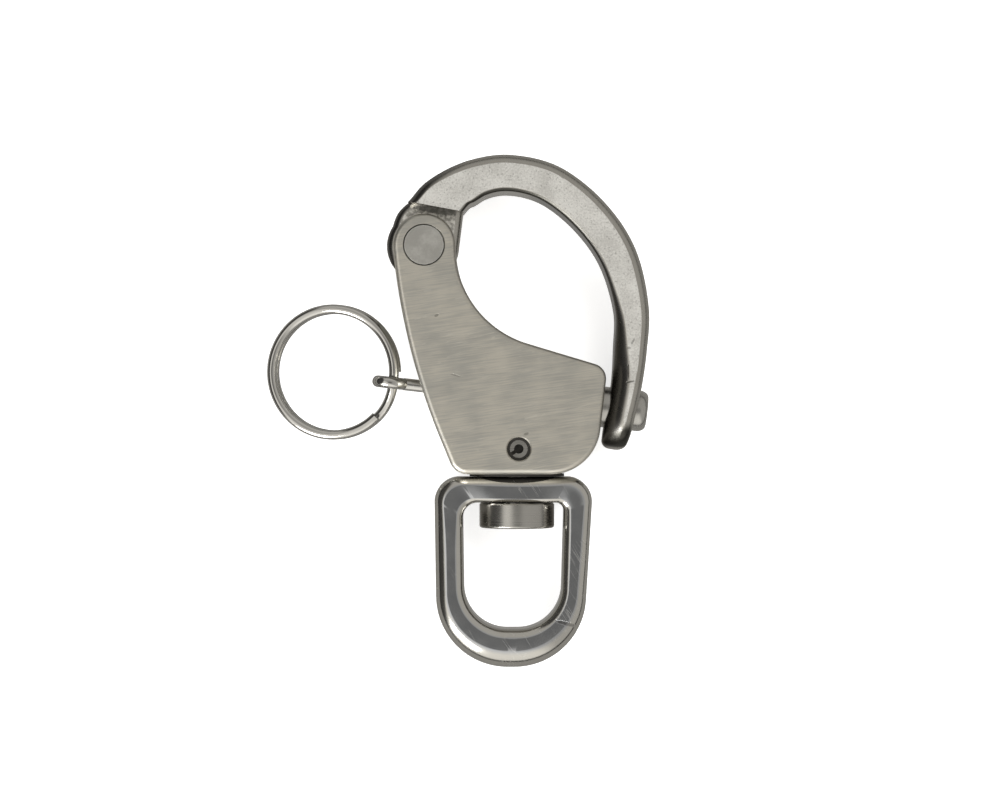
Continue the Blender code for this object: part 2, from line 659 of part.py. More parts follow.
def eye_side(left, y):
    """The eye's outer side at a height: both sides lean in a little towards the bottom."""
    share = (eye_top() - y) / EYE_HEIGHT
    if left:
        return EYE_LEFT_TOP + (EYE_LEFT_BOTTOM - EYE_LEFT_TOP) * share
    return EYE_RIGHT_TOP + (EYE_RIGHT_BOTTOM - EYE_RIGHT_TOP) * share


def make_swivel_eye(finish, count=72):
    top = eye_top()
    bottom = top - EYE_HEIGHT
    inner_top = top - EYE_TOP_BAR
    inner_bottom = bottom + EYE_BOTTOM_BAR
    bend = EYE_BEND_RADIUS
    inner_bend = EYE_BEND_RADIUS - EYE_SIDE_BAR
    bar = EYE_SIDE_BAR
    left_corner = (-eye_side(True, inner_top) - bar - BOLT_HEAD_RADIUS) * EYE_CORNER_ROOM
    right_corner = (eye_side(False, inner_top) - bar - BOLT_HEAD_RADIUS) * EYE_CORNER_ROOM
    outer_corners = [
        (eye_side(True, bottom), bottom, bend), (eye_side(False, bottom), bottom, bend),
        (eye_side(False, top), top, EYE_CORNER_RADIUS), (eye_side(True, top), top, EYE_CORNER_RADIUS),
    ]
    inner_corners = [
        (eye_side(True, inner_bottom) + bar, inner_bottom, inner_bend),
        (eye_side(False, inner_bottom) - EYE_RIGHT_FOOT_BAR, inner_bottom, inner_bend),
        (eye_side(False, inner_top) - bar, inner_top, right_corner),
        (eye_side(True, inner_top) + bar, inner_top, left_corner),
    ]
    centre = Vector((0.0, (inner_top + inner_bottom) / 2))
    outer_line = rounded(outer_corners, math.radians(6))
    inner_line = rounded(inner_corners, math.radians(6))
    sections = []
    for n in range(count):
        angle = math.tau * n / count
        outer = seen_from(centre, angle, outer_line)
        inner = seen_from(centre, angle, inner_line)
        in_top_bar = smooth((outer.y - inner_top) / EYE_TOP_BAR + 0.5)
        near_stem = smooth((EYE_BOSS_END - abs(outer.x)) / (EYE_BOSS_END - EYE_BOSS_START))
        depth = EYE_DEPTH + (EYE_BOSS_DEPTH - EYE_DEPTH) * in_top_bar * near_stem
        sections.append(bar_section(outer, inner, depth, EYE_EDGE))
    swivel_eye = place("swivel_eye", mesh_from(sweep(sections, closed=True), "swivel_eye"), finish)
    stem_hole = rod(STEM_RADIUS + RUNNING_GAP, inner_top - OVERRUN, top + OVERRUN)
    lay(stem_hole, (0, 1, 0), (0.0, 0.0, MID_Z))
    boolean(swivel_eye, "stem_hole", mesh_from(stem_hole, "stem_hole"))
    return swivel_eye


def seen_from(centre, angle, outline):
    """Where a ray from a centre leaves a closed outline."""
    ray = Vector((math.cos(angle), math.sin(angle)))
    far = 0.0
    for a, b in zip(outline, list(outline[1:]) + [outline[0]]):
        side = b - a
        slope = ray.cross(side)
        if abs(slope) < 1e-15:
            continue
        distance = (a - centre).cross(side) / slope
        share = (a - centre).cross(ray) / slope
        if -1e-9 <= share <= 1 + 1e-9:
            far = max(far, distance)
    return centre + ray * far


def make_swivel_bolt(finish):
    """Stem up into the body, head under the eye's top bar, cross-drilled for the retaining pin."""
    head_top = eye_top() - EYE_TOP_BAR - RUNNING_GAP
    head_bottom = head_top - BOLT_HEAD_HEIGHT
    profile = [
        (BOLT_HEAD_RADIUS - BOLT_CHAMFER, head_bottom), (BOLT_HEAD_RADIUS, head_bottom + BOLT_CHAMFER),
        (BOLT_HEAD_RADIUS, head_top - BOLT_CHAMFER / 2), (BOLT_HEAD_RADIUS - BOLT_CHAMFER / 2, head_top),
        (STEM_RADIUS, head_top), (STEM_RADIUS, STEM_TOP - BOLT_CHAMFER),
        (STEM_RADIUS - BOLT_CHAMFER, STEM_TOP),
    ]
    shape = lay(turned(profile, 44), (0, 1, 0), (0, 0, 0))
    bolt = place("swivel_bolt", mesh_from(shape, "swivel_bolt"), finish, (0.0, 0.0, MID_Z))
    hole = rod(PIN_RADIUS + SEAT_GAP, -2 * STEM_RADIUS, 2 * STEM_RADIUS, 28)
    hole.transform(Matrix.Translation((PIN_X, PIN_Y, 0.0)))
    boolean(bolt, "pin_hole", mesh_from(hole, "pin_hole"))
    return bolt


def make_retaining_pin(finish, steps=22):
    """Rolled spring pin: a tube with a slit down its length, sunk a little at both faces."""
    half_slit = math.asin(PIN_SLIT / 2 / PIN_BORE_RADIUS)
    outer_slit = math.asin(PIN_SLIT / 2 / PIN_RADIUS)

    def arc(radius, gap):
        span = math.tau - 2 * gap
        return [
            Vector((math.cos(gap + span * n / steps), math.sin(gap + span * n / steps))) * radius
            for n in range(steps + 1)
        ]

    outline = arc(PIN_RADIUS, outer_slit) + arc(PIN_BORE_RADIUS, half_slit)[::-1]
    shape = slab(outline, PIN_RECESS, BODY_THICKNESS - PIN_RECESS)
    mesh = mesh_from(shape, "retaining_pin")
    return place("retaining_pin", mesh, finish, (PIN_X, PIN_Y, 0.0), math.radians(215))


def main():
    clear_scene()
    satin = steel("satin_steel", 0.52, 0.38)
    cast = steel("cast_steel", 0.56, 0.46)
    polished = steel("polished_steel", 0.50, 0.16)
    turned_steel = steel("turned_steel", 0.48, 0.26)
    make_body(satin)
    make_pivot_rivet(satin)
    make_bail(cast)
    make_nose(turned_steel)
    make_pull_rod(turned_steel)
    make_spring(polished)
    make_pull_ring(polished)
    make_swivel_eye(polished)
    make_swivel_bolt(turned_steel)
    make_retaining_pin(turned_steel)


main()
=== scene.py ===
import json
import math

import bmesh
import bpy
from mathutils import Matrix, Vector


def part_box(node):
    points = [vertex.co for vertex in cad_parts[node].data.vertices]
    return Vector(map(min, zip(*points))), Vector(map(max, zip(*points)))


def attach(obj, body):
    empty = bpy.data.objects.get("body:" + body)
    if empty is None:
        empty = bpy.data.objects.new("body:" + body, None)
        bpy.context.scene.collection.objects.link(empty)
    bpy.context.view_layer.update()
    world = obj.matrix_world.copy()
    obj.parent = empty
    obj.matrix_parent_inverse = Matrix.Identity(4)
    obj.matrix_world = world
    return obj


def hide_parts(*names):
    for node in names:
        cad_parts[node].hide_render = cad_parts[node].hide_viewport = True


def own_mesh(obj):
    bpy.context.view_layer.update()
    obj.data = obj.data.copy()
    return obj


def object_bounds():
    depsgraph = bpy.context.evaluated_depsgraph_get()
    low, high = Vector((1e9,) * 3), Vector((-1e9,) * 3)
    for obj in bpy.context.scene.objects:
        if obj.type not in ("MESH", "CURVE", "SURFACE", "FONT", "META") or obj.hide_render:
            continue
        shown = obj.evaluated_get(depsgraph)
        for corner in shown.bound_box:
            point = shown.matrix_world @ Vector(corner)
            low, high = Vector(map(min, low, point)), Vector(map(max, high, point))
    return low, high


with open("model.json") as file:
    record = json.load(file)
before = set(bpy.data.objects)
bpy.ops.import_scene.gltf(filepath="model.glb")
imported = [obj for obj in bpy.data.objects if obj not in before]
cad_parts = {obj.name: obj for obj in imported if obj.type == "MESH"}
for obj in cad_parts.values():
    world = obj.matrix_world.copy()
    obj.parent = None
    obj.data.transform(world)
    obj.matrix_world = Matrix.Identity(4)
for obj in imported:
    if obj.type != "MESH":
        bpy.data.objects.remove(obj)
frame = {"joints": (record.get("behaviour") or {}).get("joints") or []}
cad_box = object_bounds()
joints = {joint["name"]: joint for joint in frame["joints"]}
mm = 0.001


# ---- stage ------------------------------------------------------------------------------------
# A white light table in a tent: dim overhead, bright at the near left, dark low down on the far
# left. Polished steel shows the tent all round, its flat faces dark and its rounded edges bright.

class Value:
    """One output of a node; arithmetic on it adds Math nodes to its tree."""

    def __init__(self, nodes, socket):
        self.nodes = nodes
        self.socket = socket

    def __add__(self, other):
        return self.nodes.math("ADD", self, other)

    def __radd__(self, other):
        return self.nodes.math("ADD", other, self)

    def __sub__(self, other):
        return self.nodes.math("SUBTRACT", self, other)

    def __rsub__(self, other):
        return self.nodes.math("SUBTRACT", other, self)

    def __mul__(self, other):
        return self.nodes.math("MULTIPLY", self, other)

    def __rmul__(self, other):
        return self.nodes.math("MULTIPLY", other, self)


class Nodes:
    """Builds one node tree."""

    def __init__(self, tree):
        self.tree = tree

    def add(self, kind, settings=None, sockets=None, output=0):
        """A node of a kind with its settings and socket values; returns one of its outputs."""
        node = self.tree.nodes.new(kind)
        for name, value in (settings or {}).items():
            setattr(node, name, value)
        for name, value in (sockets or {}).items():
            self.feed(node.inputs[name], value)
        return Value(self, node.outputs[output])

    def feed(self, socket, value):
        """Set a socket to a constant or link a node's output to it."""
        if isinstance(value, Value):
            self.tree.links.new(value.socket, socket)
        else:
            socket.default_value = value

    def math(self, operation, first, second=0.0):
        return self.add("ShaderNodeMath", {"operation": operation}, {0: first, 1: second})

    def between(self, value, low, high):
        """0 below low, 1 above high, soft in between."""
        return self.add(
            "ShaderNodeMapRange", {"interpolation_type": "SMOOTHSTEP"},
            {"Value": value, "From Min": low, "From Max": high},
        )


def link(thing):
    """Put a new object in the scene."""
    bpy.context.scene.collection.objects.link(thing)
    return thing


TENT_WALL = 0.50           # brightness of the sides
TENT_NEAR = 0.50           # how much brighter the near left is
TENT_OVERHEAD = 0.22
TENT_FLOOR = 0.36
TENT_FAR_LEFT = 0.06
NEAR_LEFT = (-0.75, -0.66, 0.0)
FAR_LEFT = (-0.97, 0.25, 0.0)

world = bpy.data.worlds.new("light_tent")
bpy.context.scene.world = world
world.use_nodes = True
tent = Nodes(world.node_tree)
way = tent.add("ShaderNodeTexCoord")


def towards(direction, low, high):
    """How far the tent's surface lies out in a direction: 0 up to low, 1 from high on."""
    out = tent.add("ShaderNodeVectorMath", {"operation": "DOT_PRODUCT"}, {0: way, 1: direction}, "Value")
    return tent.between(out, low, high)


overhead = towards((0.0, 0.0, 1.0), 0.95, 0.985)
over_table = towards((0.0, 0.0, 1.0), 0.02, 0.14)
under_table = towards((0.0, 0.0, -1.0), 0.02, 0.14)
sides = TENT_WALL + TENT_NEAR * towards(NEAR_LEFT, 0.08, 0.35)
far_left = towards(FAR_LEFT, 0.60, 0.74)
sides = sides * (1 - far_left) + TENT_FAR_LEFT * far_left
sides = sides * (1 - overhead) + TENT_OVERHEAD * overhead
backdrop = world.node_tree.nodes["Background"]
tent.feed(backdrop.inputs["Color"], (1.0, 0.975, 0.925, 1.0))
tent.feed(backdrop.inputs["Strength"], sides * over_table + TENT_FLOOR * under_table)


def soft_box(name, place, size, power, mirrored):
    """A square light aimed at the shackle, which the steel mirrors or not."""
    light = bpy.data.lights.new(name, "AREA")
    light.size = size
    light.energy = power
    box = link(bpy.data.objects.new(name, light))
    box.location = place
    box.rotation_euler = (-Vector(place)).to_track_quat("-Z", "Y").to_euler()
    box.visible_glossy = mirrored


soft_box("near_box", (-0.50, -0.62, 0.45), 0.40, 4.0, mirrored=True)
soft_box("far_box", (0.60, 0.60, 0.80), 1.00, 12.0, mirrored=False)

TABLE_REACH = 3.0
TABLE_GLOW = 0.7
table_top = bmesh.new()
bmesh.ops.create_grid(table_top, x_segments=1, y_segments=1, size=TABLE_REACH)
bmesh.ops.translate(table_top, verts=table_top.verts, vec=(0.0, 0.0, cad_box[0].z))
table_mesh = bpy.data.meshes.new("table_top")
table_top.to_mesh(table_mesh)
table = link(bpy.data.objects.new("table_top", table_mesh))
table.visible_glossy = False       # the steel shows the tent, not the table
acrylic = bpy.data.materials.new("white_acrylic")
acrylic.use_nodes = True
top_shader = acrylic.node_tree.nodes["Principled BSDF"]
top_shader.inputs["Base Color"].default_value = (0.93, 0.93, 0.93, 1.0)
top_shader.inputs["Roughness"].default_value = 0.9
top_shader.inputs["Specular IOR Level"].default_value = 0.1
top_shader.inputs["Emission Color"].default_value = (1.0, 1.0, 1.0, 1.0)
top_shader.inputs["Emission Strength"].default_value = TABLE_GLOW
table_mesh.materials.append(acrylic)

CAMERA_HEIGHT = 500 * mm       # above the shackle's front faces
FRAME_WIDTH = 169.3 * mm       # what the camera takes in at that distance
FRONT_FACES = 12 * mm
camera = bpy.data.cameras.new("camera")
camera.sensor_width = 36.0
camera.lens = camera.sensor_width * CAMERA_HEIGHT / FRAME_WIDTH
stand = link(bpy.data.objects.new("camera", camera))
stand.location = (-2.88 * mm, -0.51 * mm, FRONT_FACES + CAMERA_HEIGHT)
bpy.context.scene.camera = stand
bpy.context.scene.view_settings.view_transform = "Standard"


# ---- body -------------------------------------------------------------------------------------
# The body is an investment casting in stainless steel. Its two faces are ground on a belt, which
# leaves fine lines nearly across it, and its rim is tumbled round.

RUNNING_GAP = 0.15 * mm
SEAT_GAP = 0.15 * mm
BODY_LOW, BODY_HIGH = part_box("body")
THICKNESS = BODY_HIGH.z - BODY_LOW.z
MID_Z = THICKNESS / 2
BODY_RIM = 0.9 * mm
PIVOT = Vector(joints["bail_swing"]["pos_m"])
EAR_RADIUS = 5.3 * mm
FLANK = Vector((-19.37 * mm, 8.4 * mm))
BLEND = 0.98
EAR_BLEND = 0.995
FOOT_X = -10.5 * mm
FOOT_RADIUS = 3.3 * mm
HEEL_RADIUS = 8.5 * mm
LIP_RADIUS = 2.6 * mm
MOUTH_HEIGHT = 9.6 * mm
MOUTH_SLOPE = math.radians(-16.9)
NECK_LEAN = math.radians(12.0)
FACE_DISTANCE = 14.65 * mm
TANG_THICKNESS = 5.7 * mm
SLOT_DEPTH = 8.05 * mm
PULL = Vector(joints["plunger_pull"]["axis"])
ALONG = -PULL
TILT = math.atan2(ALONG.y, ALONG.x)
NOSE_RADIUS = 3.5 * mm
BORE_DEPTH = 24.0 * mm
ROD_RADIUS = 1.05 * mm
RIVET_HEAD_RADIUS = 3.4 * mm
RIVET_HEAD_HEIGHT = 1.4 * mm
RIVET_FLUSH = 0.1 * mm
RIVET_SHANK_RADIUS = 2.5 * mm
STEM_RADIUS = 3.0 * mm
STEM_TOP = -4.9 * mm
PIN_X = 0.3 * mm
PIN_Y = -8.8 * mm
PIN_RADIUS = 1.5 * mm
PIN_MOUTH_RADIUS = 2.0 * mm
PIN_MOUTH_DEPTH = 0.9 * mm
MOUTH_BREAK = 0.18 * mm        # the sharp edge of a hole is broken by this much
SEAT_BREAK = 0.02 * mm
OVERRUN = 0.5 * mm


def rounded(corners, step=math.radians(3), chord=0.7 * mm):
    """A closed outline through (x, y, radius) corners, each rounded by a tangent arc."""
    points = []
    for i, (x, y, radius) in enumerate(corners):
        here = Vector((x, y))
        back = (Vector(corners[i - 1][:2]) - here).normalized()
        ahead = (Vector(corners[(i + 1) % len(corners)][:2]) - here).normalized()
        half = back.angle(ahead) / 2
        turn = math.pi - 2 * half
        centre = here + (back + ahead).normalized() * (radius / math.sin(half))
        first = here + back * (radius / math.tan(half)) - centre
        way = 1.0 if back.cross(ahead) < 0 else -1.0
        count = max(2, math.ceil(turn / step), math.ceil(turn * radius / chord))
        for n in range(count + 1):
            points.append(centre + Matrix.Rotation(way * turn * n / count, 2) @ first)
    return points


def slab(outline, low, high):
    """An outline in XY pulled up from z = low to z = high."""
    shape = bmesh.new()
    base = shape.faces.new([shape.verts.new((p[0], p[1], low)) for p in outline])
    pulled = bmesh.ops.extrude_face_region(shape, geom=[base])["geom"]
    lifted = [v for v in pulled if isinstance(v, bmesh.types.BMVert)]
    bmesh.ops.translate(shape, verts=lifted, vec=(0.0, 0.0, high - low))
    return shape


def soften_rims(shape, low, high, width, segments=6):
    """Round the rims of a slab where its flat faces meet its sides."""
    rims = []
    for edge in shape.edges:
        heights = [v.co.z for v in edge.verts]
        if max(heights) < low + 1e-7 or min(heights) > high - 1e-7:
            rims.append(edge)
    bmesh.ops.bevel(
        shape, geom=rims, offset=width, segments=segments, profile=0.5, affect="EDGES",
        clamp_overlap=False,
    )
    return shape


def turned(profile, sides=96):
    """A solid turned about its Z axis; the profile is (radius, z) from one end to the other."""
    shape = bmesh.new()
    rings = []
    for radius, z in profile:
        if radius == 0:
            rings.append([shape.verts.new((0.0, 0.0, z))] * sides)
            continue
        ring = []
        for n in range(sides):
            angle = math.tau * n / sides
            ring.append(shape.verts.new((radius * math.cos(angle), radius * math.sin(angle), z)))
        rings.append(ring)
    for ring, following in zip(rings, rings[1:]):
        for n in range(sides):
            m = (n + 1) % sides
            shape.faces.new(dict.fromkeys((ring[n], ring[m], following[m], following[n])))
    for ring in (rings[0], rings[-1]):
        if ring[0] is not ring[1]:
            shape.faces.new(ring)
    return shape


def lay(shape, direction, origin):
    """Turn a shape made about Z so that its axis runs along a direction through an origin."""
    turn = Vector(direction).to_track_quat("Z", "X").to_matrix().to_4x4()
    shape.transform(Matrix.Translation(origin) @ turn)
    return shape


def mesh_from(shape, name):
    """A named mesh from a shape, which is used up."""
    bmesh.ops.recalc_face_normals(shape, faces=shape.faces)
    mesh = bpy.data.meshes.new(name)
    shape.to_mesh(mesh)
    shape.free()
    return mesh


def worked(shape, steps, name):
    """The mesh left when each (operation, tool shape) step has been done to a shape."""
    blank = link(bpy.data.objects.new(name, mesh_from(shape, name)))
    tools = []
    for operation, tool_shape in steps:
        tool = link(bpy.data.objects.new(f"{name}_tool", mesh_from(tool_shape, f"{name}_tool")))
        step = blank.modifiers.new(operation.lower(), "BOOLEAN")
        step.operation = operation
        step.solver = "EXACT"
        step.object = tool
        tools.append(tool)
    bpy.context.view_layer.update()
    shaped = blank.evaluated_get(bpy.context.evaluated_depsgraph_get())
    mesh = bpy.data.meshes.new_from_object(shaped)
    for used in [blank] + tools:
        bpy.data.objects.remove(used)
    mesh.name = name
    return mesh


def fit(name, mesh, finish, body, replaced, crease=math.radians(32)):
    """Put a finished piece in place of the CAD node it stands for."""
    mesh.materials.clear()
    mesh.materials.append(finish)
    mesh.shade_smooth()
    mesh.set_sharp_from_angle(angle=crease)
    piece = link(bpy.data.objects.new(name, mesh))
    level = piece.modifiers.new("even_faces", "WEIGHTED_NORMAL")
    level.keep_sharp = True
    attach(piece, body)
    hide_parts(replaced)
    return piece


def body_outline():
    """The casting's outline from its lower left corner round."""
    lean = -math.tan(TILT)

    def on_face(y):
        return (FACE_DISTANCE - y * math.sin(TILT)) / math.cos(TILT)

    def on_mouth(x):
        return MOUTH_HEIGHT + x * math.tan(MOUTH_SLOPE)

    bottom = BODY_LOW.y
    lip_x = (on_face(0.0) + lean * MOUTH_HEIGHT) / (1 - lean * math.tan(MOUTH_SLOPE))
    ear_right = PIVOT.x + EAR_RADIUS
    ear_top = PIVOT.y + EAR_RADIUS
    to_pivot = PIVOT.to_2d() - FLANK
    heading = math.atan2(to_pivot.y, to_pivot.x) + math.asin(EAR_RADIUS / to_pivot.length)
    ear_left = FLANK.x + (ear_top - FLANK.y) / math.tan(heading)
    flank_turn = math.atan2(FLANK.y - bottom, FLANK.x - FOOT_X) - heading
    flank_straight = math.sqrt(to_pivot.length_squared - EAR_RADIUS**2)
    flank_radius = BLEND * flank_straight / math.tan(flank_turn / 2)
    neck_straight = PIVOT.y - on_mouth(ear_right)
    neck_radius = BLEND * neck_straight * math.tan((math.pi / 2 - MOUTH_SLOPE) / 2)
    return rounded([
        (FOOT_X, bottom, FOOT_RADIUS),
        (on_face(bottom), bottom, HEEL_RADIUS),
        (lip_x, on_mouth(lip_x), LIP_RADIUS),
        (ear_right, on_mouth(ear_right), neck_radius),
        (ear_right, ear_top, EAR_RADIUS * EAR_BLEND),
        (ear_left, ear_top, EAR_RADIUS * EAR_BLEND),
        (FLANK.x, FLANK.y, flank_radius),
    ])


def through_cutter(wide, deep, narrow, broken):
    """A hole right through the body, wider near both faces, with its sharp edges broken."""
    flare = wide + broken + OVERRUN
    upper = [(flare, THICKNESS + OVERRUN), (wide, THICKNESS - broken), (wide, THICKNESS - deep)]
    upper.append((narrow, THICKNESS - deep))
    return turned([(radius, THICKNESS - z) for radius, z in upper] + upper[::-1])


def fork_slot():
    """The gap for the bail's tang, square to the leaning neck."""
    half = TANG_THICKNESS / 2 + RUNNING_GAP
    reach = 3 * EAR_RADIUS
    box = [(-reach, -SLOT_DEPTH), (reach, -SLOT_DEPTH), (reach, reach), (-reach, reach)]
    slot = slab(box, MID_Z - half, MID_Z + half)
    slot.transform(Matrix.Translation((PIVOT.x, PIVOT.y, 0.0)) @ Matrix.Rotation(NECK_LEAN, 4, "Z"))
    return slot


def steel(name):
    """A bare stainless steel with the nodes to build its surface on."""
    material = bpy.data.materials.new(name)
    material.use_nodes = True
    shader = material.node_tree.nodes["Principled BSDF"]
    shader.inputs["Metallic"].default_value = 1.0
    return material, Nodes(material.node_tree), shader


def place_on(nodes):
    """Where on its piece a point lies."""
    return nodes.add("ShaderNodeTexCoord", output="Object")


def streaks(nodes, turn, length, scale, detail=4.0):
    """Noise drawn out into lines: turn is their direction about Z, length how long to wide."""
    along = nodes.add(
        "ShaderNodeMapping", {"vector_type": "TEXTURE"},
        {"Vector": place_on(nodes), "Rotation": (0.0, 0.0, turn), "Scale": (length, 1.0, 1.0)},
    )
    return nodes.add("ShaderNodeTexNoise", None, {"Vector": along, "Scale": scale, "Detail": detail})


def mottle(nodes, scale, detail=3.0):
    """Cloudy noise; the scale is how many spots there are to a metre."""
    sockets = {"Vector": place_on(nodes), "Scale": scale, "Detail": detail}
    return nodes.add("ShaderNodeTexNoise", None, sockets)


def scratches(nodes, turn, length, scale, width):
    """Thin stray lines where drawn-out noise passes its middle value."""
    lines = streaks(nodes, turn, length, scale, 1.0)
    return 1 - nodes.between(nodes.math("ABSOLUTE", lines - 0.5), 0.0, width)


def tint(nodes, share, first, second):
    """The first colour where share is 0, the second where it is 1."""
    return nodes.add("ShaderNodeMix", {"data_type": "RGBA"}, {0: share, 6: first, 7: second}, 2)


def raise_surface(nodes, shader, height, distance, strength=1.0):
    """Bumps: distance is how high a height of 1 stands."""
    bump = nodes.add("ShaderNodeBump", None, {"Height": height, "Distance": distance, "Strength": strength})
    nodes.feed(shader.inputs["Normal"], bump)


def marks(nodes, spots):
    """1 on ragged dents and scratches, 0 away from them.

    A spot is (x, y, length, width, turn): its centre, its size and how it lies about Z.
    """
    marked = 0.0
    for x, y, length, width, turn in spots:
        spot = nodes.add("ShaderNodeMapping", {"vector_type": "TEXTURE"}, {
            "Vector": place_on(nodes), "Location": (x, y, 0.0), "Rotation": (0.0, 0.0, turn),
            "Scale": (length, width, 1.0),
        })
        away = nodes.add("ShaderNodeVectorMath", {"operation": "LENGTH"}, {0: spot}, "Value")
        marked = marked + (1 - nodes.between(away + 0.35 * mottle(nodes, 3500.0), 0.48, 0.62))
    return marked


GRIND_TURN = math.radians(8)
STRAY_TURN = math.radians(14)
BODY_NICKS = (
    (-13.6 * mm, 13.8 * mm, 1.1 * mm, 0.6 * mm, math.radians(25)),
    (-10.4 * mm, 3.7 * mm, 2.4 * mm, 0.34 * mm, math.radians(-15)),
    (1.6 * mm, -6.2 * mm, 1.2 * mm, 0.6 * mm, math.radians(20)),
)


def ground_steel():
    """Belt-ground: fine lines that rise a little to the right, faint patches and a few nicks."""
    material, nodes, shader = steel("ground_steel")
    fine = streaks(nodes, GRIND_TURN, 22.0, 4600.0)
    broad = streaks(nodes, GRIND_TURN, 5.0, 700.0)
    patch = mottle(nodes, 160.0)
    stray = scratches(nodes, STRAY_TURN, 26.0, 1300.0, 0.02)
    stray = stray * nodes.between(mottle(nodes, 420.0), 0.52, 0.60)
    nicks = marks(nodes, BODY_NICKS)
    light = nodes.between(fine * 0.50 + broad * 0.06 + patch * 0.44, 0.34, 0.66)
    colour = tint(nodes, light, (0.57, 0.56, 0.515, 1.0), (0.76, 0.725, 0.64, 1.0))
    colour = tint(nodes, stray * 0.35, colour, (0.92, 0.89, 0.80, 1.0))
    colour = tint(nodes, nicks * 0.6, colour, (0.26, 0.25, 0.22, 1.0))
    nodes.feed(shader.inputs["Base Color"], colour)
    nodes.feed(shader.inputs["Roughness"], 0.38 + 0.08 * broad)
    raise_surface(nodes, shader, fine + broad * 0.08 - nicks * 4.0, 0.005 * mm)
    return material


satin = ground_steel()
cut_bore = lay(
    turned([
        (ROD_RADIUS + RUNNING_GAP, -2 * FACE_DISTANCE),
        (ROD_RADIUS + RUNNING_GAP, FACE_DISTANCE - BORE_DEPTH),
        (NOSE_RADIUS + RUNNING_GAP, FACE_DISTANCE - BORE_DEPTH),
        (NOSE_RADIUS + RUNNING_GAP, FACE_DISTANCE - 2 * MOUTH_BREAK),
        (NOSE_RADIUS + RUNNING_GAP + 3 * OVERRUN, FACE_DISTANCE + 3 * OVERRUN - 2 * MOUTH_BREAK),
    ]),
    ALONG, (0.0, 0.0, MID_Z),
)
cut_stem = turned([
    (STEM_RADIUS + SEAT_GAP, BODY_LOW.y - OVERRUN), (STEM_RADIUS + SEAT_GAP, STEM_TOP + SEAT_GAP),
])
cut_rivet = through_cutter(
    RIVET_HEAD_RADIUS + SEAT_GAP, RIVET_HEAD_HEIGHT + RIVET_FLUSH + SEAT_GAP,
    RIVET_SHANK_RADIUS + RUNNING_GAP, SEAT_BREAK,
)
cut_pin = through_cutter(PIN_MOUTH_RADIUS, PIN_MOUTH_DEPTH, PIN_RADIUS + SEAT_GAP, MOUTH_BREAK)
body_blank = soften_rims(slab(body_outline(), 0.0, THICKNESS), 0.0, THICKNESS, BODY_RIM)
body_mesh = worked(
    body_blank,
    [
        ("DIFFERENCE", fork_slot()),
        ("DIFFERENCE", lay(cut_rivet, (0, 0, 1), (PIVOT.x, PIVOT.y, 0.0))),
        ("DIFFERENCE", cut_bore),
        ("DIFFERENCE", lay(cut_stem, (0, 1, 0), (0.0, 0.0, MID_Z))),
        ("DIFFERENCE", lay(cut_pin, (0, 0, 1), (PIN_X, PIN_Y, 0.0))),
    ],
    "body_casting",
)
fit("body_casting", body_mesh, satin, "shackle_body", "body")


# ---- pivot rivet ------------------------------------------------------------------------------
# A plain stainless pin through the two ears and the bail's hub. Its ends are peened into their
# seats and filed flush; the groove round each one is shown by a dark ring of painted shade.

RIVET_BREAK = 0.16 * mm
MIDWAY = 0.3                   # how far in from its corner the broken rim passes
GROOVE_SPREAD = 0.20 * mm      # the painted groove shade reaches this far in from the head's rim


def rivet_profile():
    """Half a section: a flush head at each end of the shank, each with its rim broken."""
    head, low = RIVET_HEAD_RADIUS, RIVET_FLUSH
    midway = RIVET_BREAK * MIDWAY
    profile = [(head - RIVET_BREAK, low), (head - midway, low + midway), (head, low + RIVET_BREAK)]
    profile += [(head, low + RIVET_HEAD_HEIGHT), (RIVET_SHANK_RADIUS, low + RIVET_HEAD_HEIGHT)]
    return profile + [(radius, THICKNESS - z) for radius, z in reversed(profile)]


def filed_steel_groove_shade():
    """Filed smooth and cooler than the casting, faintly mottled, with painted shade round the rim."""
    material, nodes, shader = steel("filed_steel_groove_shade")
    middle = (PIVOT.x, PIVOT.y, 0.0)
    spot = nodes.add("ShaderNodeVectorMath", {"operation": "SUBTRACT"}, {0: place_on(nodes), 1: middle})
    flat = nodes.add("ShaderNodeVectorMath", {"operation": "MULTIPLY"}, {0: spot, 1: (1.0, 1.0, 0.0)})
    out = nodes.add("ShaderNodeVectorMath", {"operation": "LENGTH"}, {0: flat}, "Value")
    ragged = out + 0.2 * mm * (mottle(nodes, 1500.0) - 0.5)
    # painted shade: a near-black ring on the head's rim stands for the shade in the groove round it
    groove_shade = nodes.between(ragged, RIVET_HEAD_RADIUS - GROOVE_SPREAD, RIVET_HEAD_RADIUS)
    light = nodes.between(mottle(nodes, 260.0) * 0.6 + mottle(nodes, 2600.0) * 0.4, 0.35, 0.65)
    colour = tint(nodes, light, (0.66, 0.65, 0.61, 1.0), (0.75, 0.74, 0.70, 1.0))
    nodes.feed(shader.inputs["Base Color"], tint(nodes, groove_shade, colour, (0.05, 0.05, 0.045, 1.0)))
    nodes.feed(shader.inputs["Metallic"], 1 - 0.8 * groove_shade)
    nodes.feed(shader.inputs["Roughness"], 0.34 + 0.06 * light + 0.3 * groove_shade)
    raise_surface(nodes, shader, light, 0.004 * mm)
    return material


rivet = lay(turned(rivet_profile()), (0, 0, 1), (PIVOT.x, PIVOT.y, 0.0))
fit("flush_rivet", mesh_from(rivet, "flush_rivet"), filed_steel_groove_shade(), "shackle_body", "pivot_rivet")


# ---- bail -------------------------------------------------------------------------------------
# The bail is a second investment casting: a thin tang and hub in the fork, a deep curved arm, and
# a domed end with the plunger's hole. Its faces are blasted and pale, its outer side is tumbled.

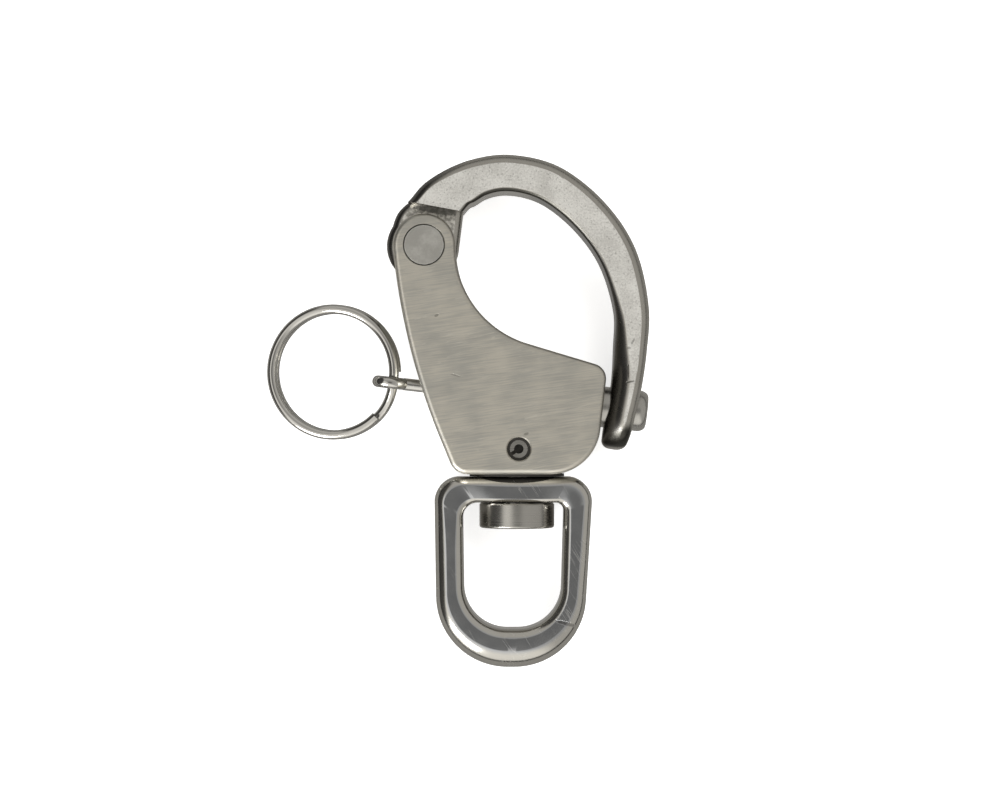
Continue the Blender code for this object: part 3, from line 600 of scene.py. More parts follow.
BAIL_DEPTH = 12.0 * mm
BAIL_EYE_WIDTH = 4.8 * mm
BAIL_FACE_GAP = 0.9 * mm
BAIL_END_LEAN = math.radians(10.5)
BAIL_TIP_BELOW_NOSE = 7.1 * mm
NOSE_HOLE_GAP = 0.25 * mm
HUB_RADIUS = 6.15 * mm
HUB_SHIFT = 0.3 * mm
TANG_INSET = 0.02 * mm
TANG_BULGE = 0.5 * mm
TANG_RIM = 1.5 * mm
TANG_ROOT = 12                 # the tang reaches up into the arm to this section of it
EDGE_STEPS = 8
SHOULDER_OUTER = PIVOT.to_2d() + Vector((-2.8 * mm, 7.4 * mm))
SHOULDER_INNER = PIVOT.to_2d() + Vector((6.6 * mm, 5.65 * mm))
BAIL_EYE = ALONG.to_2d() * (FACE_DISTANCE + BAIL_FACE_GAP + BAIL_EYE_WIDTH / 2)
END_DOWN = Vector((-math.sin(BAIL_END_LEAN), -math.cos(BAIL_END_LEAN)))
DOME_RADIUS = BAIL_DEPTH / 2
DOME_BASE = BAIL_EYE + END_DOWN * (BAIL_TIP_BELOW_NOSE - DOME_RADIUS)
SHOULDER_STATIONS = 2.8        # the arm has swung square to its centre line this many stations on
# centre line of the arm from the shoulder on: x, y, width
ARM_STATIONS = (
    (-11.54 * mm, 34.6 * mm, 8.9 * mm),
    (-6.79 * mm, 37.15 * mm, 6.8 * mm),
    (-1.0 * mm, 37.95 * mm, 6.35 * mm),
    (5.9 * mm, 36.1 * mm, 6.55 * mm),
    (12.5 * mm, 30.8 * mm, 6.6 * mm),
    (17.2 * mm, 23.9 * mm, 6.4 * mm),
    (19.5 * mm, 15.2 * mm, 5.8 * mm),
    (19.3 * mm, 8.0 * mm, 5.55 * mm),
    (18.65 * mm, 1.8 * mm, 5.05 * mm),
)


def smooth(share):
    """0 to 1 with a soft start and a soft end."""
    share = min(max(share, 0.0), 1.0)
    return share * share * (3 - 2 * share)


def through(values, share):
    """A smooth curve through a list of values at even steps; share runs from 0 to 1."""
    position = share * (len(values) - 1)
    i = min(int(position), len(values) - 2)
    t = position - i
    before = values[i - 1] if i > 0 else values[0] * 2 - values[1]
    after = values[i + 2] if i + 2 < len(values) else values[-1] * 2 - values[-2]
    a, b = values[i], values[i + 1]
    return (
        a * 2 + (b - before) * t + (before * 2 - a * 5 + b * 4 - after) * t**2
        + (a * 3 - before - b * 3 + after) * t**3
    ) / 2


def bar_section(outer, inner, depth, outer_edge, inner_edge, arc_steps=EDGE_STEPS):
    """A section of a flat bar on the line from an outer to an inner point of it.

    An edge is (how far across, how far down, the angle it starts at), 0 being a soft start.
    """
    width = (inner - outer).length
    side = (inner - outer).normalized()
    quarter = []
    for n in range(arc_steps + 1):
        across, down = edge_point(outer_edge, n / arc_steps)
        quarter.append((across, depth / 2 - down))
    for n in range(arc_steps, -1, -1):
        across, down = edge_point(inner_edge, n / arc_steps)
        quarter.append((width - across, depth / 2 - down))
    lower = [(across, -up) for across, up in reversed(quarter)]
    section = []
    for across, up in quarter + lower:
        point = outer + side * across
        section.append((point.x, point.y, MID_Z + up))
    return section


def edge_point(edge, share):
    """A point of a rounded edge, from the side (share 0) up to the face (share 1)."""
    wide, deep, start = edge
    angle = start + (math.pi / 2 - start) * (1 - share)
    across = wide * (1 - math.sin(angle)) / (1 - math.sin(start))
    down = deep * (1 - math.cos(angle) / math.cos(start))
    return across, down


def sweep(sections, closed):
    """A skin over sections that all have the same number of points."""
    shape = bmesh.new()
    rings = [[shape.verts.new(p) for p in section] for section in sections]
    pairs = list(zip(rings, rings[1:]))
    if closed:
        pairs.append((rings[-1], rings[0]))
    for ring, following in pairs:
        for n in range(len(ring)):
            m = (n + 1) % len(ring)
            shape.faces.new((ring[n], ring[m], following[m], following[n]))
    if not closed:
        shape.faces.new(rings[0])
        shape.faces.new(rings[-1])
    return shape


def blended(first, second, share):
    """Two edges mixed value by value."""
    return tuple(a + (b - a) * share for a, b in zip(first, second))


ARM_OUTER_EDGE = (1.7 * mm, 2.0 * mm, math.radians(22))
ARM_INNER_EDGE = (0.85 * mm, 0.85 * mm, math.radians(8))
END_OUTER_EDGE = (1.4 * mm, 1.8 * mm, math.radians(18))
END_INNER_EDGE = (3.0 * mm, 3.4 * mm, math.radians(26))
END_EDGE_START = 0.62          # share of the arm's length where its inner side begins to round over
END_EDGE_FULL = 0.88
END_EDGES = (END_OUTER_EDGE, END_INNER_EDGE)
DOME_SWEEP = math.radians(89.0)
DOME_NARROWING = 1.5 * mm
DOME_OUTER_SHARE = 0.8         # most of that on its outer side
TIP_CORNER = 1.2 * mm


def arm_sections(steps=150):
    """The arm from its shoulder to where its end begins to dome."""
    centres = [(SHOULDER_OUTER + SHOULDER_INNER) / 2]
    widths = [(SHOULDER_OUTER - SHOULDER_INNER).length]
    for x, y, width in ARM_STATIONS:
        centres.append(Vector((x, y)))
        widths.append(width)
    centres.append(DOME_BASE)
    widths.append(BAIL_EYE_WIDTH)
    first_way = (SHOULDER_OUTER - SHOULDER_INNER).normalized()
    sections = []
    for n in range(steps + 1):
        share = n / steps
        centre = through(centres, share)
        ahead = through(centres, min(share + 1e-4, 1.0)) - through(centres, max(share - 1e-4, 0.0))
        outward = Vector((-ahead.y, ahead.x)).normalized()
        turned_out = smooth(share * (len(centres) - 1) / SHOULDER_STATIONS)
        outward = first_way.lerp(outward, turned_out).normalized()
        half = through(widths, share) / 2
        rounding = smooth((share - END_EDGE_START) / (END_EDGE_FULL - END_EDGE_START))
        outer_edge = blended(ARM_OUTER_EDGE, END_OUTER_EDGE, rounding)
        inner_edge = blended(ARM_INNER_EDGE, END_INNER_EDGE, rounding)
        ends = centre + outward * half, centre - outward * half
        sections.append(bar_section(*ends, BAIL_DEPTH, outer_edge, inner_edge))
    return sections


def dome_sections(steps=30):
    """The arm's end, domed from face to face, narrowing a little and with rounded corners."""
    outward = Vector((-END_DOWN.y, END_DOWN.x))
    sections = []
    for n in range(1, steps + 1):
        angle = DOME_SWEEP * n / steps
        centre = DOME_BASE + END_DOWN * (DOME_RADIUS * math.sin(angle))
        narrowing = DOME_NARROWING * (1 - math.cos(angle))
        into_corner = max(TIP_CORNER - DOME_RADIUS * (1 - math.sin(angle)), 0.0)
        corner = TIP_CORNER - math.sqrt(TIP_CORNER**2 - into_corner**2)
        outer = centre + outward * (BAIL_EYE_WIDTH / 2 - narrowing * DOME_OUTER_SHARE - corner)
        inner = centre - outward * (BAIL_EYE_WIDTH / 2 - narrowing * (1 - DOME_OUTER_SHARE) - corner)
        shrink = Vector(((outer - inner).length / BAIL_EYE_WIDTH, math.cos(angle)))
        edges = [(wide * shrink.x, deep * shrink.y, start) for wide, deep, start in END_EDGES]
        sections.append(bar_section(outer, inner, BAIL_DEPTH * math.cos(angle), *edges))
    return sections


def tang_shape(sections, arc_steps=60, side_steps=12):
    """The thin tang: from inside the arm's shoulder down and round the hub."""
    rooted = sections[TANG_ROOT]
    outer, inner = Vector(rooted[EDGE_STEPS][:2]), Vector(rooted[EDGE_STEPS + 1][:2])
    inset = TANG_INSET / (SHOULDER_OUTER - SHOULDER_INNER).length
    start_outer = SHOULDER_OUTER.lerp(SHOULDER_INNER, inset)
    start_inner = SHOULDER_INNER.lerp(SHOULDER_OUTER, inset)
    centre = PIVOT.to_2d() - Vector((HUB_SHIFT, 0.0))
    to_left, to_right = start_outer - centre, start_inner - centre
    start = math.atan2(to_left.y, to_left.x) + math.acos(HUB_RADIUS / to_left.length)
    end = math.atan2(to_right.y, to_right.x) - math.acos(HUB_RADIUS / to_right.length) + math.tau
    arc = []
    for n in range(arc_steps + 1):
        angle = start + (end - start) * n / arc_steps
        arc.append(centre + Vector((math.cos(angle), math.sin(angle))) * HUB_RADIUS)
    straight = arc[0] - start_outer
    swell = Vector((straight.y, -straight.x)).normalized() * TANG_BULGE
    side = []
    for n in range(1, side_steps):
        share = n / side_steps
        side.append(start_outer + straight * share + swell * math.sin(math.pi * share))
    outline = [start_inner, inner, outer, start_outer] + side + arc
    low, high = MID_Z - TANG_THICKNESS / 2, MID_Z + TANG_THICKNESS / 2
    return soften_rims(slab(outline, low, high), low, high, TANG_RIM)


def facing(nodes, axis):
    """How far the surface faces along an axis, from -1 to 1."""
    normal = nodes.add("ShaderNodeTexCoord", output="Normal")
    return nodes.add("ShaderNodeSeparateXYZ", None, {0: normal}, axis)


def flatness(nodes):
    """1 on faces that lie flat, falling to 0 on upright ones."""
    return nodes.math("ABSOLUTE", facing(nodes, "Z"))


COLD_SHUTS = (
    (19.6 * mm, 9.4 * mm, 1.5 * mm, 0.5 * mm, math.radians(60)),
    (18.9 * mm, 8.3 * mm, 0.9 * mm, 0.6 * mm, 0.0),
)
END_FLAWS = (
    (19.2 * mm, 2.6 * mm, 1.9 * mm, 0.42 * mm, math.radians(10)),
    (18.8 * mm, 4.4 * mm, 0.38 * mm, 3.0 * mm, 0.0),
)
RAW_FADE = 0.4 * mm            # the raw skin goes over into the blasted one in this much height
# painted shade: a dark band along the foot of the arm's step on the tang
STEP_SHADE = ((-13.5 * mm, 31.7 * mm, 11.0 * mm, 1.5 * mm, math.radians(-9)),)


def blasted_face(nodes, grain, cloud, pits):
    """Pale and even, with fine dark pits."""
    pale = nodes.between(grain * 0.55 + cloud * 0.45, 0.35, 0.65)
    pale = tint(nodes, pale, (0.50, 0.49, 0.46, 1.0), (0.68, 0.67, 0.635, 1.0))
    return tint(nodes, pits * 0.5, pale, (0.20, 0.195, 0.18, 1.0))


def raw_skin_and_step_shade(nodes, lumps):
    """The tang's face as it came from the mould, with painted shade in the corner under the arm's step."""
    skin = nodes.between(lumps, 0.38, 0.62)
    skin = tint(nodes, skin, (0.34, 0.33, 0.30, 1.0), (0.74, 0.72, 0.67, 1.0))
    return tint(nodes, 0.75 * marks(nodes, STEP_SHADE), skin, (0.10, 0.098, 0.09, 1.0))


def tumbled_side_with_shade(nodes, cloud):
    """Smooth, with painted dark reflections: darker where it faces the near left, and all but black under the
    arch's edge.
    """
    # painted dark reflection on sides that face the near left
    painted_dark_left = nodes.between(facing(nodes, "X") * -1.0, 0.15, 0.50)
    # painted near-black reflection on slopes that face -Y, under the arch's edge
    under = nodes.between(facing(nodes, "Y") * -1.0, 0.20, 0.45)
    under = under * nodes.between(flatness(nodes), 0.30, 0.50)
    side = tint(nodes, cloud, (0.44, 0.425, 0.39, 1.0), (0.56, 0.545, 0.505, 1.0))
    side = tint(nodes, painted_dark_left, side, (0.17, 0.165, 0.155, 1.0))
    return tint(nodes, under, side, (0.07, 0.068, 0.06, 1.0))


def cast_steel():
    """Blasted on its faces, tumbled on its sides and left raw on the tang, with casting flaws."""
    material, nodes, shader = steel("cast_steel")
    level = nodes.add("ShaderNodeSeparateXYZ", None, {0: place_on(nodes)}, "Z")
    off_middle = nodes.math("ABSOLUTE", level - MID_Z)
    raw = 1 - nodes.between(off_middle, TANG_THICKNESS / 2, TANG_THICKNESS / 2 + RAW_FADE)
    face = nodes.between(flatness(nodes), 0.955, 0.99)
    grain = mottle(nodes, 3200.0, 2.0)
    cloud = mottle(nodes, 300.0)
    lumps = mottle(nodes, 1500.0, 6.0)
    pits = nodes.between(mottle(nodes, 2900.0, 1.0), 0.62, 0.72)
    flaws = 0.6 * marks(nodes, COLD_SHUTS) + marks(nodes, END_FLAWS)
    top = tint(nodes, raw, blasted_face(nodes, grain, cloud, pits), raw_skin_and_step_shade(nodes, lumps))
    colour = tint(nodes, face, tumbled_side_with_shade(nodes, cloud), top)
    nodes.feed(shader.inputs["Base Color"], tint(nodes, flaws * 0.85, colour, (0.12, 0.115, 0.105, 1.0)))
    nodes.feed(shader.inputs["Metallic"], 1 - 0.5 * face)
    nodes.feed(shader.inputs["Roughness"], 0.24 + 0.24 * face + 0.06 * cloud)
    height = (grain * 0.5 - pits + lumps * raw * 2.0) * (0.1 + 0.9 * face) - flaws * 2.0
    raise_surface(nodes, shader, height, 0.014 * mm)
    return material


bail_sections = arm_sections() + dome_sections()
cut_nose_hole = lay(
    turned([(NOSE_RADIUS + NOSE_HOLE_GAP, -BAIL_EYE_WIDTH), (NOSE_RADIUS + NOSE_HOLE_GAP, BAIL_EYE_WIDTH)]),
    ALONG, (BAIL_EYE.x, BAIL_EYE.y, MID_Z),
)
cut_hub_hole = lay(
    turned([(RIVET_SHANK_RADIUS + RUNNING_GAP, 0.0), (RIVET_SHANK_RADIUS + RUNNING_GAP, THICKNESS)]),
    (0, 0, 1), (PIVOT.x, PIVOT.y, 0.0),
)
bail_mesh = worked(
    sweep(bail_sections, closed=False),
    [("UNION", tang_shape(bail_sections)), ("DIFFERENCE", cut_nose_hole), ("DIFFERENCE", cut_hub_hole)],
    "bail_casting",
)
fit("bail_casting", bail_mesh, cast_steel(), "bail_arm", "bail")


# ---- plunger ----------------------------------------------------------------------------------
# The nose is turned from 7 mm bar and chamfered so that the bail can ride over it. The pull rod is
# a thin polished shank pressed into its back, flattened and drilled at the far end.

NOSE_INSIDE = 7.0 * mm
NOSE_REACH = 7.75 * mm
NOSE_TIP_ROUND = 1.1 * mm
NOSE_TIP_DRAWN = 1.3           # the round is this much longer than wide
NOSE_TAIL_CHAMFER = 0.3 * mm
ROD_IN_NOSE = 4.5 * mm
ROD_EYE_X = -21.8 * mm
ROD_EYE_HOLE_RADIUS = 1.5 * mm
ROD_EYE_WALL = 1.6 * mm
ROD_EYE_THICKNESS = 2.0 * mm
ROD_EYE_RIM = 0.95 * mm
ROD_EYE_FLARE = 0.5 * mm        # its hole is countersunk by this much for the ring to swing in


def nose_profile(steps=6):
    """Half a section: the rod's hole, the chamfered tail and the drawn-out round of the tip."""
    tail, tip = FACE_DISTANCE - NOSE_INSIDE, FACE_DISTANCE + NOSE_REACH
    hole = ROD_RADIUS + SEAT_GAP
    profile = [(0.0, tail + ROD_IN_NOSE + SEAT_GAP), (hole, tail + ROD_IN_NOSE + SEAT_GAP), (hole, tail)]
    profile += [(NOSE_RADIUS - NOSE_TAIL_CHAMFER, tail), (NOSE_RADIUS, tail + NOSE_TAIL_CHAMFER)]
    for n in range(steps + 1):
        angle = math.pi / 2 * n / steps
        radius = NOSE_RADIUS - NOSE_TIP_ROUND * (1 - math.cos(angle))
        profile.append((radius, tip - NOSE_TIP_ROUND * NOSE_TIP_DRAWN * (1 - math.sin(angle))))
    return profile + [(0.0, tip)]


def turned_steel(name, direction, dark, pale):
    """Lathe-turned: faint rings round an axis, smeared where the tool passed."""
    material, nodes, shader = steel(name)
    along = nodes.add(
        "ShaderNodeVectorMath", {"operation": "DOT_PRODUCT"}, {0: place_on(nodes), 1: direction}, "Value",
    )
    rings = nodes.add(
        "ShaderNodeTexNoise", {"noise_dimensions": "1D"}, {"W": along, "Scale": 5200.0, "Detail": 3.0},
    )
    smear = mottle(nodes, 260.0)
    nodes.feed(shader.inputs["Base Color"], tint(nodes, rings * 0.5 + smear * 0.5, dark, pale))
    nodes.feed(shader.inputs["Roughness"], 0.14 + 0.12 * rings + 0.16 * smear)
    raise_surface(nodes, shader, rings, 0.004 * mm)
    return material


nose = lay(turned(nose_profile()), ALONG, (0.0, 0.0, MID_Z))
nose_finish = turned_steel("turned_nose", tuple(ALONG), (0.42, 0.41, 0.39, 1.0), (0.62, 0.61, 0.58, 1.0))
fit("turned_nose", mesh_from(nose, "turned_nose"), nose_finish, "plunger", "plunger_nose")


def rod_eye_profile(steps=10):
    """Half of the eye's rim, from its middle to its flat side and back."""
    outer = ROD_EYE_HOLE_RADIUS + ROD_EYE_WALL
    half = ROD_EYE_THICKNESS / 2
    upper = []
    for n in range(steps + 1):
        angle = math.pi / 2 * n / steps
        radius = outer - ROD_EYE_RIM * (1 - math.cos(angle))
        upper.append((radius, half - ROD_EYE_RIM * (1 - math.sin(angle))))
    return [(radius, -z) for radius, z in reversed(upper)] + upper


BUFFING_TURN = math.radians(-58)


def polished_steel_painted_reflections(name, face, slope, upright, roughness, wave, dents=()):
    """Buffed bright, a little wavy, with hazy patches, hairlines and dents.

    The colours given for flat faces, for slopes and for upright sides are painted reflection and shade, set
    by which way the surface faces.
    """
    material, nodes, shader = steel(name)
    dented = marks(nodes, dents)
    haze = mottle(nodes, 420.0)
    wavy = mottle(nodes, 170.0, 1.0)
    hairs = scratches(nodes, BUFFING_TURN, 24.0, 900.0, 0.02)
    hairs = hairs * nodes.between(mottle(nodes, 150.0), 0.50, 0.60)
    # painted reflection: flat faces and slopes get different colours by how flat they lie
    colour = tint(nodes, nodes.between(flatness(nodes), 0.90, 0.985), slope, face)
    colour = tint(nodes, 0.25 * haze + 0.25 * hairs, colour, (0.80, 0.79, 0.76, 1.0))
    # painted shade: upright sides get their own, darker colour
    colour = tint(nodes, nodes.between(flatness(nodes), 0.10, 0.62), upright, colour)
    nodes.feed(shader.inputs["Base Color"], tint(nodes, dented * 0.55, colour, (0.16, 0.155, 0.15, 1.0)))
    nodes.feed(shader.inputs["Roughness"], roughness + 0.10 * haze + 0.12 * hairs)
    raise_surface(nodes, shader, wavy * wave - hairs * 0.01 - dented * 0.2, 0.25 * mm)
    return material


# the wire's flat tops, paler slopes and near-black sides are painted reflection and shade
bright = polished_steel_painted_reflections(
    "bright_wire", (0.50, 0.49, 0.47, 1.0), (0.68, 0.67, 0.64, 1.0), (0.10, 0.098, 0.09, 1.0),
    roughness=0.07, wave=0.03,
)
eye_axis = Vector((-ALONG.y, ALONG.x, 0.0))
eye_place = ALONG * ROD_EYE_X + Vector((0.0, 0.0, MID_Z))
rod_end = FACE_DISTANCE - NOSE_INSIDE + ROD_IN_NOSE
rod_start = ROD_EYE_X + ROD_EYE_HOLE_RADIUS + ROD_EYE_WALL / 2
shank = lay(turned([(ROD_RADIUS, rod_start), (ROD_RADIUS, rod_end)], 48), ALONG, (0.0, 0.0, MID_Z))
half_eye = ROD_EYE_THICKNESS / 2
eye_mouth = ROD_EYE_HOLE_RADIUS + ROD_EYE_FLARE
cut_rod_eye = turned([
    (eye_mouth, -half_eye - SEAT_BREAK), (ROD_EYE_HOLE_RADIUS, ROD_EYE_FLARE - half_eye),
    (ROD_EYE_HOLE_RADIUS, half_eye - ROD_EYE_FLARE), (eye_mouth, half_eye + SEAT_BREAK),
], 64)
rod_mesh = worked(
    shank,
    [
        ("UNION", lay(turned(rod_eye_profile(), 72), eye_axis, eye_place)),
        ("DIFFERENCE", lay(cut_rod_eye, eye_axis, eye_place)),
    ],
    "eyed_pull_rod",
)
fit("eyed_pull_rod", rod_mesh, bright, "plunger", "pull_rod")


# ---- plunger spring ---------------------------------------------------------------------------
# Nine turns of stainless spring wire between the bore's floor and the nose's back.

SPRING_WIRE = 0.7 * mm
SPRING_TURNS = 9
SPRING_SIDE_GAP = 0.35 * mm


def spring_shape(steps_a_turn=40, sides=12):
    """The coil, its first and last turns closed up."""
    floor = FACE_DISTANCE - BORE_DEPTH + SEAT_GAP
    back = FACE_DISTANCE - NOSE_INSIDE - SEAT_GAP
    half = SPRING_WIRE / 2
    middle = NOSE_RADIUS + RUNNING_GAP - SPRING_SIDE_GAP - half
    closed_step = SPRING_WIRE + RUNNING_GAP
    open_rise = back - floor - SPRING_WIRE - 2 * closed_step
    sections = []
    for n in range(SPRING_TURNS * steps_a_turn + 1):
        turn = n / steps_a_turn
        open_turns = min(max(turn - 1, 0), SPRING_TURNS - 2)
        along = floor + half + closed_step * (turn - open_turns) + open_rise * open_turns / (SPRING_TURNS - 2)
        radial = Vector((math.cos(math.tau * turn), math.sin(math.tau * turn), 0.0))
        section = []
        for k in range(sides):
            swing = math.tau * k / sides
            point = radial * (middle + half * math.cos(swing))
            section.append((point.x, point.y, along + half * math.sin(swing)))
        sections.append(section)
    return lay(sweep(sections, closed=False), ALONG, (0.0, 0.0, MID_Z))


coil = mesh_from(spring_shape(), "spring_coil")
spring = fit("spring_coil", coil, bright, "shackle_body", "plunger_spring")
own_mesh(spring)


# ---- split ring -------------------------------------------------------------------------------
# A bought ring of polished wire in nearly two turns: a lower turn, a short climb, and an upper
# turn. One single stretch of it passes through the rod's eye.

RING_RADIUS = 10.8 * mm
RING_WIRE_RADIUS = 0.83 * mm
RING_LAYER_GAP = 0.1 * mm
RING_CENTRE_Y = 4.3 * mm
RING_REST_GAP = 0.05 * mm      # the ring droops until it is this far off the table
RING_CLIMB = math.radians(45.0)
STRAND = Vector(joints["ring_swing"]["pos_m"])


def ring_shape(steps=420, sides=24):
    """The wire's two turns, hung by one stretch in the rod's eye and drooping to the table."""
    lift = RING_WIRE_RADIUS + RING_LAYER_GAP / 2
    strand_angle = math.asin((STRAND.y - RING_CENTRE_Y) / RING_RADIUS)
    climb_start = math.tau - RING_CLIMB
    total = 2 * math.tau - RING_CLIMB

    def layer(angle):
        return lift * (2 * smooth((angle - climb_start) / RING_CLIMB) - 1)

    sections = []
    for n in range(steps + 1):
        angle = total * n / steps
        outward = Vector((math.cos(angle), math.sin(angle), 0.0))
        section = []
        for k in range(sides):
            swing = math.tau * k / sides
            point = outward * (RING_RADIUS + RING_WIRE_RADIUS * math.cos(swing))
            point.z = layer(angle) + RING_WIRE_RADIUS * math.sin(swing)
            section.append(point)
        sections.append(section)
    ring = sweep(sections, closed=False)
    strand = Vector((math.cos(strand_angle), math.sin(strand_angle), 0.0)) * RING_RADIUS
    strand.z = layer(math.tau + strand_angle)
    out, under = strand.x + RING_RADIUS, strand.z + lift + RING_WIRE_RADIUS
    droop = math.asin((MID_Z - RING_REST_GAP) / math.hypot(out, under)) - math.atan2(under, out)
    ring.transform(Matrix.Translation(STRAND) @ Matrix.Rotation(-droop, 4, "Y") @ Matrix.Translation(-strand))
    return ring


fit("wire_split_ring", mesh_from(ring_shape(), "wire_split_ring"), bright, "ring", "pull_ring")


# ---- swivel eye -------------------------------------------------------------------------------
# A forged and buffed D. Its faces are flat and narrow between broad roundings, all but square
# under the top bar, where the swivel bolt's head bears.

EYE_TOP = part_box("swivel_eye")[1].y
EYE_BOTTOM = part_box("swivel_eye")[0].y
EYE_HEIGHT = EYE_TOP - EYE_BOTTOM
EYE_TOP_BAR = 4.35 * mm
EYE_BOTTOM_BAR = 6.6 * mm
EYE_LEFT_TOP = -14.1 * mm
EYE_LEFT_BOTTOM = -13.6 * mm
EYE_RIGHT_TOP = 13.05 * mm
EYE_RIGHT_BOTTOM = 11.1 * mm
EYE_SIDE_BAR = 4.8 * mm
EYE_RIGHT_FOOT_BAR = 4.1 * mm
EYE_CORNER_RADIUS = 4.2 * mm
EYE_BEND_RADIUS = 12.2 * mm
EYE_CORNER_ROOM = 0.9          # share of the room beside the bolt's head its corners take up
BOLT_HEAD_RADIUS = 6.4 * mm
EYE_DEPTH = 9.0 * mm
EYE_BOSS_DEPTH = 10.0 * mm
EYE_BOSS_START = 3.6 * mm
EYE_BOSS_END = 12.8 * mm
# how wide the rounding is on each side of the D: left, right, top, bottom
OUTER_ROUNDING = (2.0 * mm, 1.55 * mm, 1.7 * mm, 3.1 * mm)
INNER_ROUNDING = (1.5 * mm, 1.4 * mm, 0.7 * mm, 1.6 * mm)


def eye_side(left, y):
    """How far out the D's left or right side is at a height."""
    share = (EYE_TOP - y) / EYE_HEIGHT
    if left:
        return EYE_LEFT_TOP + (EYE_LEFT_BOTTOM - EYE_LEFT_TOP) * share
    return EYE_RIGHT_TOP + (EYE_RIGHT_BOTTOM - EYE_RIGHT_TOP) * share


def even_loop(corners, arc_steps=26, side_steps=14):
    """A rounded outline with the same number of points on every arc and every straight."""
    arcs = []
    for i, (x, y, radius) in enumerate(corners):
        here = Vector((x, y))
        back = (Vector(corners[i - 1][:2]) - here).normalized()
        ahead = (Vector(corners[(i + 1) % len(corners)][:2]) - here).normalized()
        half = back.angle(ahead) / 2
        centre = here + (back + ahead).normalized() * (radius / math.sin(half))
        first = here + back * (radius / math.tan(half)) - centre
        turn = math.pi - 2 * half
        arcs.append([
            centre + Matrix.Rotation(turn * n / arc_steps, 2) @ first for n in range(arc_steps + 1)
        ])
    points = []
    for arc, following in zip(arcs, arcs[1:] + arcs[:1]):
        points += arc
        for n in range(1, side_steps):
            points.append(arc[-1].lerp(following[0], n / side_steps))
    return points


def by_side(roundings, normal):
    """The rounding for a stretch of the D that faces along normal."""
    left, right, top, bottom = roundings
    across = left if normal.x < 0 else right
    upright = bottom if normal.y < 0 else top
    return across * normal.x**2 + upright * normal.y**2


def eye_sections():
    """Sections square to the bar, all the way round the D."""
    inner_top = EYE_TOP - EYE_TOP_BAR
    inner_bottom = EYE_BOTTOM + EYE_BOTTOM_BAR
    inner_bend = EYE_BEND_RADIUS - EYE_SIDE_BAR
    left_room = -eye_side(True, inner_top) - EYE_SIDE_BAR - BOLT_HEAD_RADIUS
    right_room = eye_side(False, inner_top) - EYE_SIDE_BAR - BOLT_HEAD_RADIUS
    outer_line = even_loop([
        (eye_side(True, EYE_BOTTOM), EYE_BOTTOM, EYE_BEND_RADIUS),
        (eye_side(False, EYE_BOTTOM), EYE_BOTTOM, EYE_BEND_RADIUS),
        (eye_side(False, EYE_TOP), EYE_TOP, EYE_CORNER_RADIUS),
        (eye_side(True, EYE_TOP), EYE_TOP, EYE_CORNER_RADIUS),
    ])
    inner_line = even_loop([
        (eye_side(True, inner_bottom) + EYE_SIDE_BAR, inner_bottom, inner_bend),
        (eye_side(False, inner_bottom) - EYE_RIGHT_FOOT_BAR, inner_bottom, inner_bend),
        (eye_side(False, inner_top) - EYE_SIDE_BAR, inner_top, right_room * EYE_CORNER_ROOM),
        (eye_side(True, inner_top) + EYE_SIDE_BAR, inner_top, left_room * EYE_CORNER_ROOM),
    ])
    sections = []
    for outer, inner in zip(outer_line, inner_line):
        normal = (outer - inner).normalized()
        in_top_bar = smooth((outer.y - inner_top) / EYE_TOP_BAR + 0.5)
        near_stem = smooth((EYE_BOSS_END - abs(outer.x)) / (EYE_BOSS_END - EYE_BOSS_START))
        depth = EYE_DEPTH + (EYE_BOSS_DEPTH - EYE_DEPTH) * in_top_bar * near_stem
        outer_round = by_side(OUTER_ROUNDING, normal)
        inner_round = by_side(INNER_ROUNDING, normal)
        sections.append(bar_section(
            outer, inner, depth, (outer_round, outer_round * 1.15, math.radians(12)),
            (inner_round, inner_round * 1.15, math.radians(12)), arc_steps=12,
        ))
    return sections


cut_swivel = lay(
    turned([
        (STEM_RADIUS + RUNNING_GAP, EYE_TOP - EYE_TOP_BAR - OVERRUN),
        (STEM_RADIUS + RUNNING_GAP, EYE_TOP + OVERRUN),
    ]),
    (0, 1, 0), (0.0, 0.0, MID_Z),
)
eye_mesh = worked(sweep(eye_sections(), closed=True), [("DIFFERENCE", cut_swivel)], "forged_eye")
EYE_DENTS = ((8.2 * mm, -38.4 * mm, 4.6 * mm, 0.9 * mm, math.radians(-16)),)
# the eye's blue-grey faces, paler slopes and darker sides are painted reflection and shade
buffed = polished_steel_painted_reflections(
    "buffed_forging", (0.46, 0.475, 0.50, 1.0), (0.60, 0.585, 0.545, 1.0), (0.40, 0.39, 0.36, 1.0),
    roughness=0.11, wave=0.06, dents=EYE_DENTS,
)
fit("forged_eye", eye_mesh, buffed, "eye", "swivel_eye")


# ---- swivel bolt and retaining pin ------------------------------------------------------------
# The bolt is turned in one piece: a head under the eye's top bar and a stem up into the body. A
# rolled spring pin through body and stem keeps it from turning out. Near-black fill is painted
# shade in the pin's hole and in the gap under the body, where the eye turns.

BOLT_HEAD_HEIGHT = 4.25 * mm
BOLT_BREAK = 0.45 * mm
PIN_BORE_RADIUS = 0.8 * mm
PIN_SLIT = 0.6 * mm
PIN_RECESS = 0.8 * mm
PIN_TURN = math.radians(215)
# the near-black fill below is painted shade, in the pin's hole and in the gap under the body
SHADE_DIP = 1.2 * mm
SHADE_CLEAR = 0.1 * mm        # left between the painted shade ring and the eye that turns under it
SHADE_HOLD = 0.03 * mm
SHADE_REACH = 5.4 * mm
SHADE_SPREAD = 1.5            # the painted shade ring is this much wider than deep


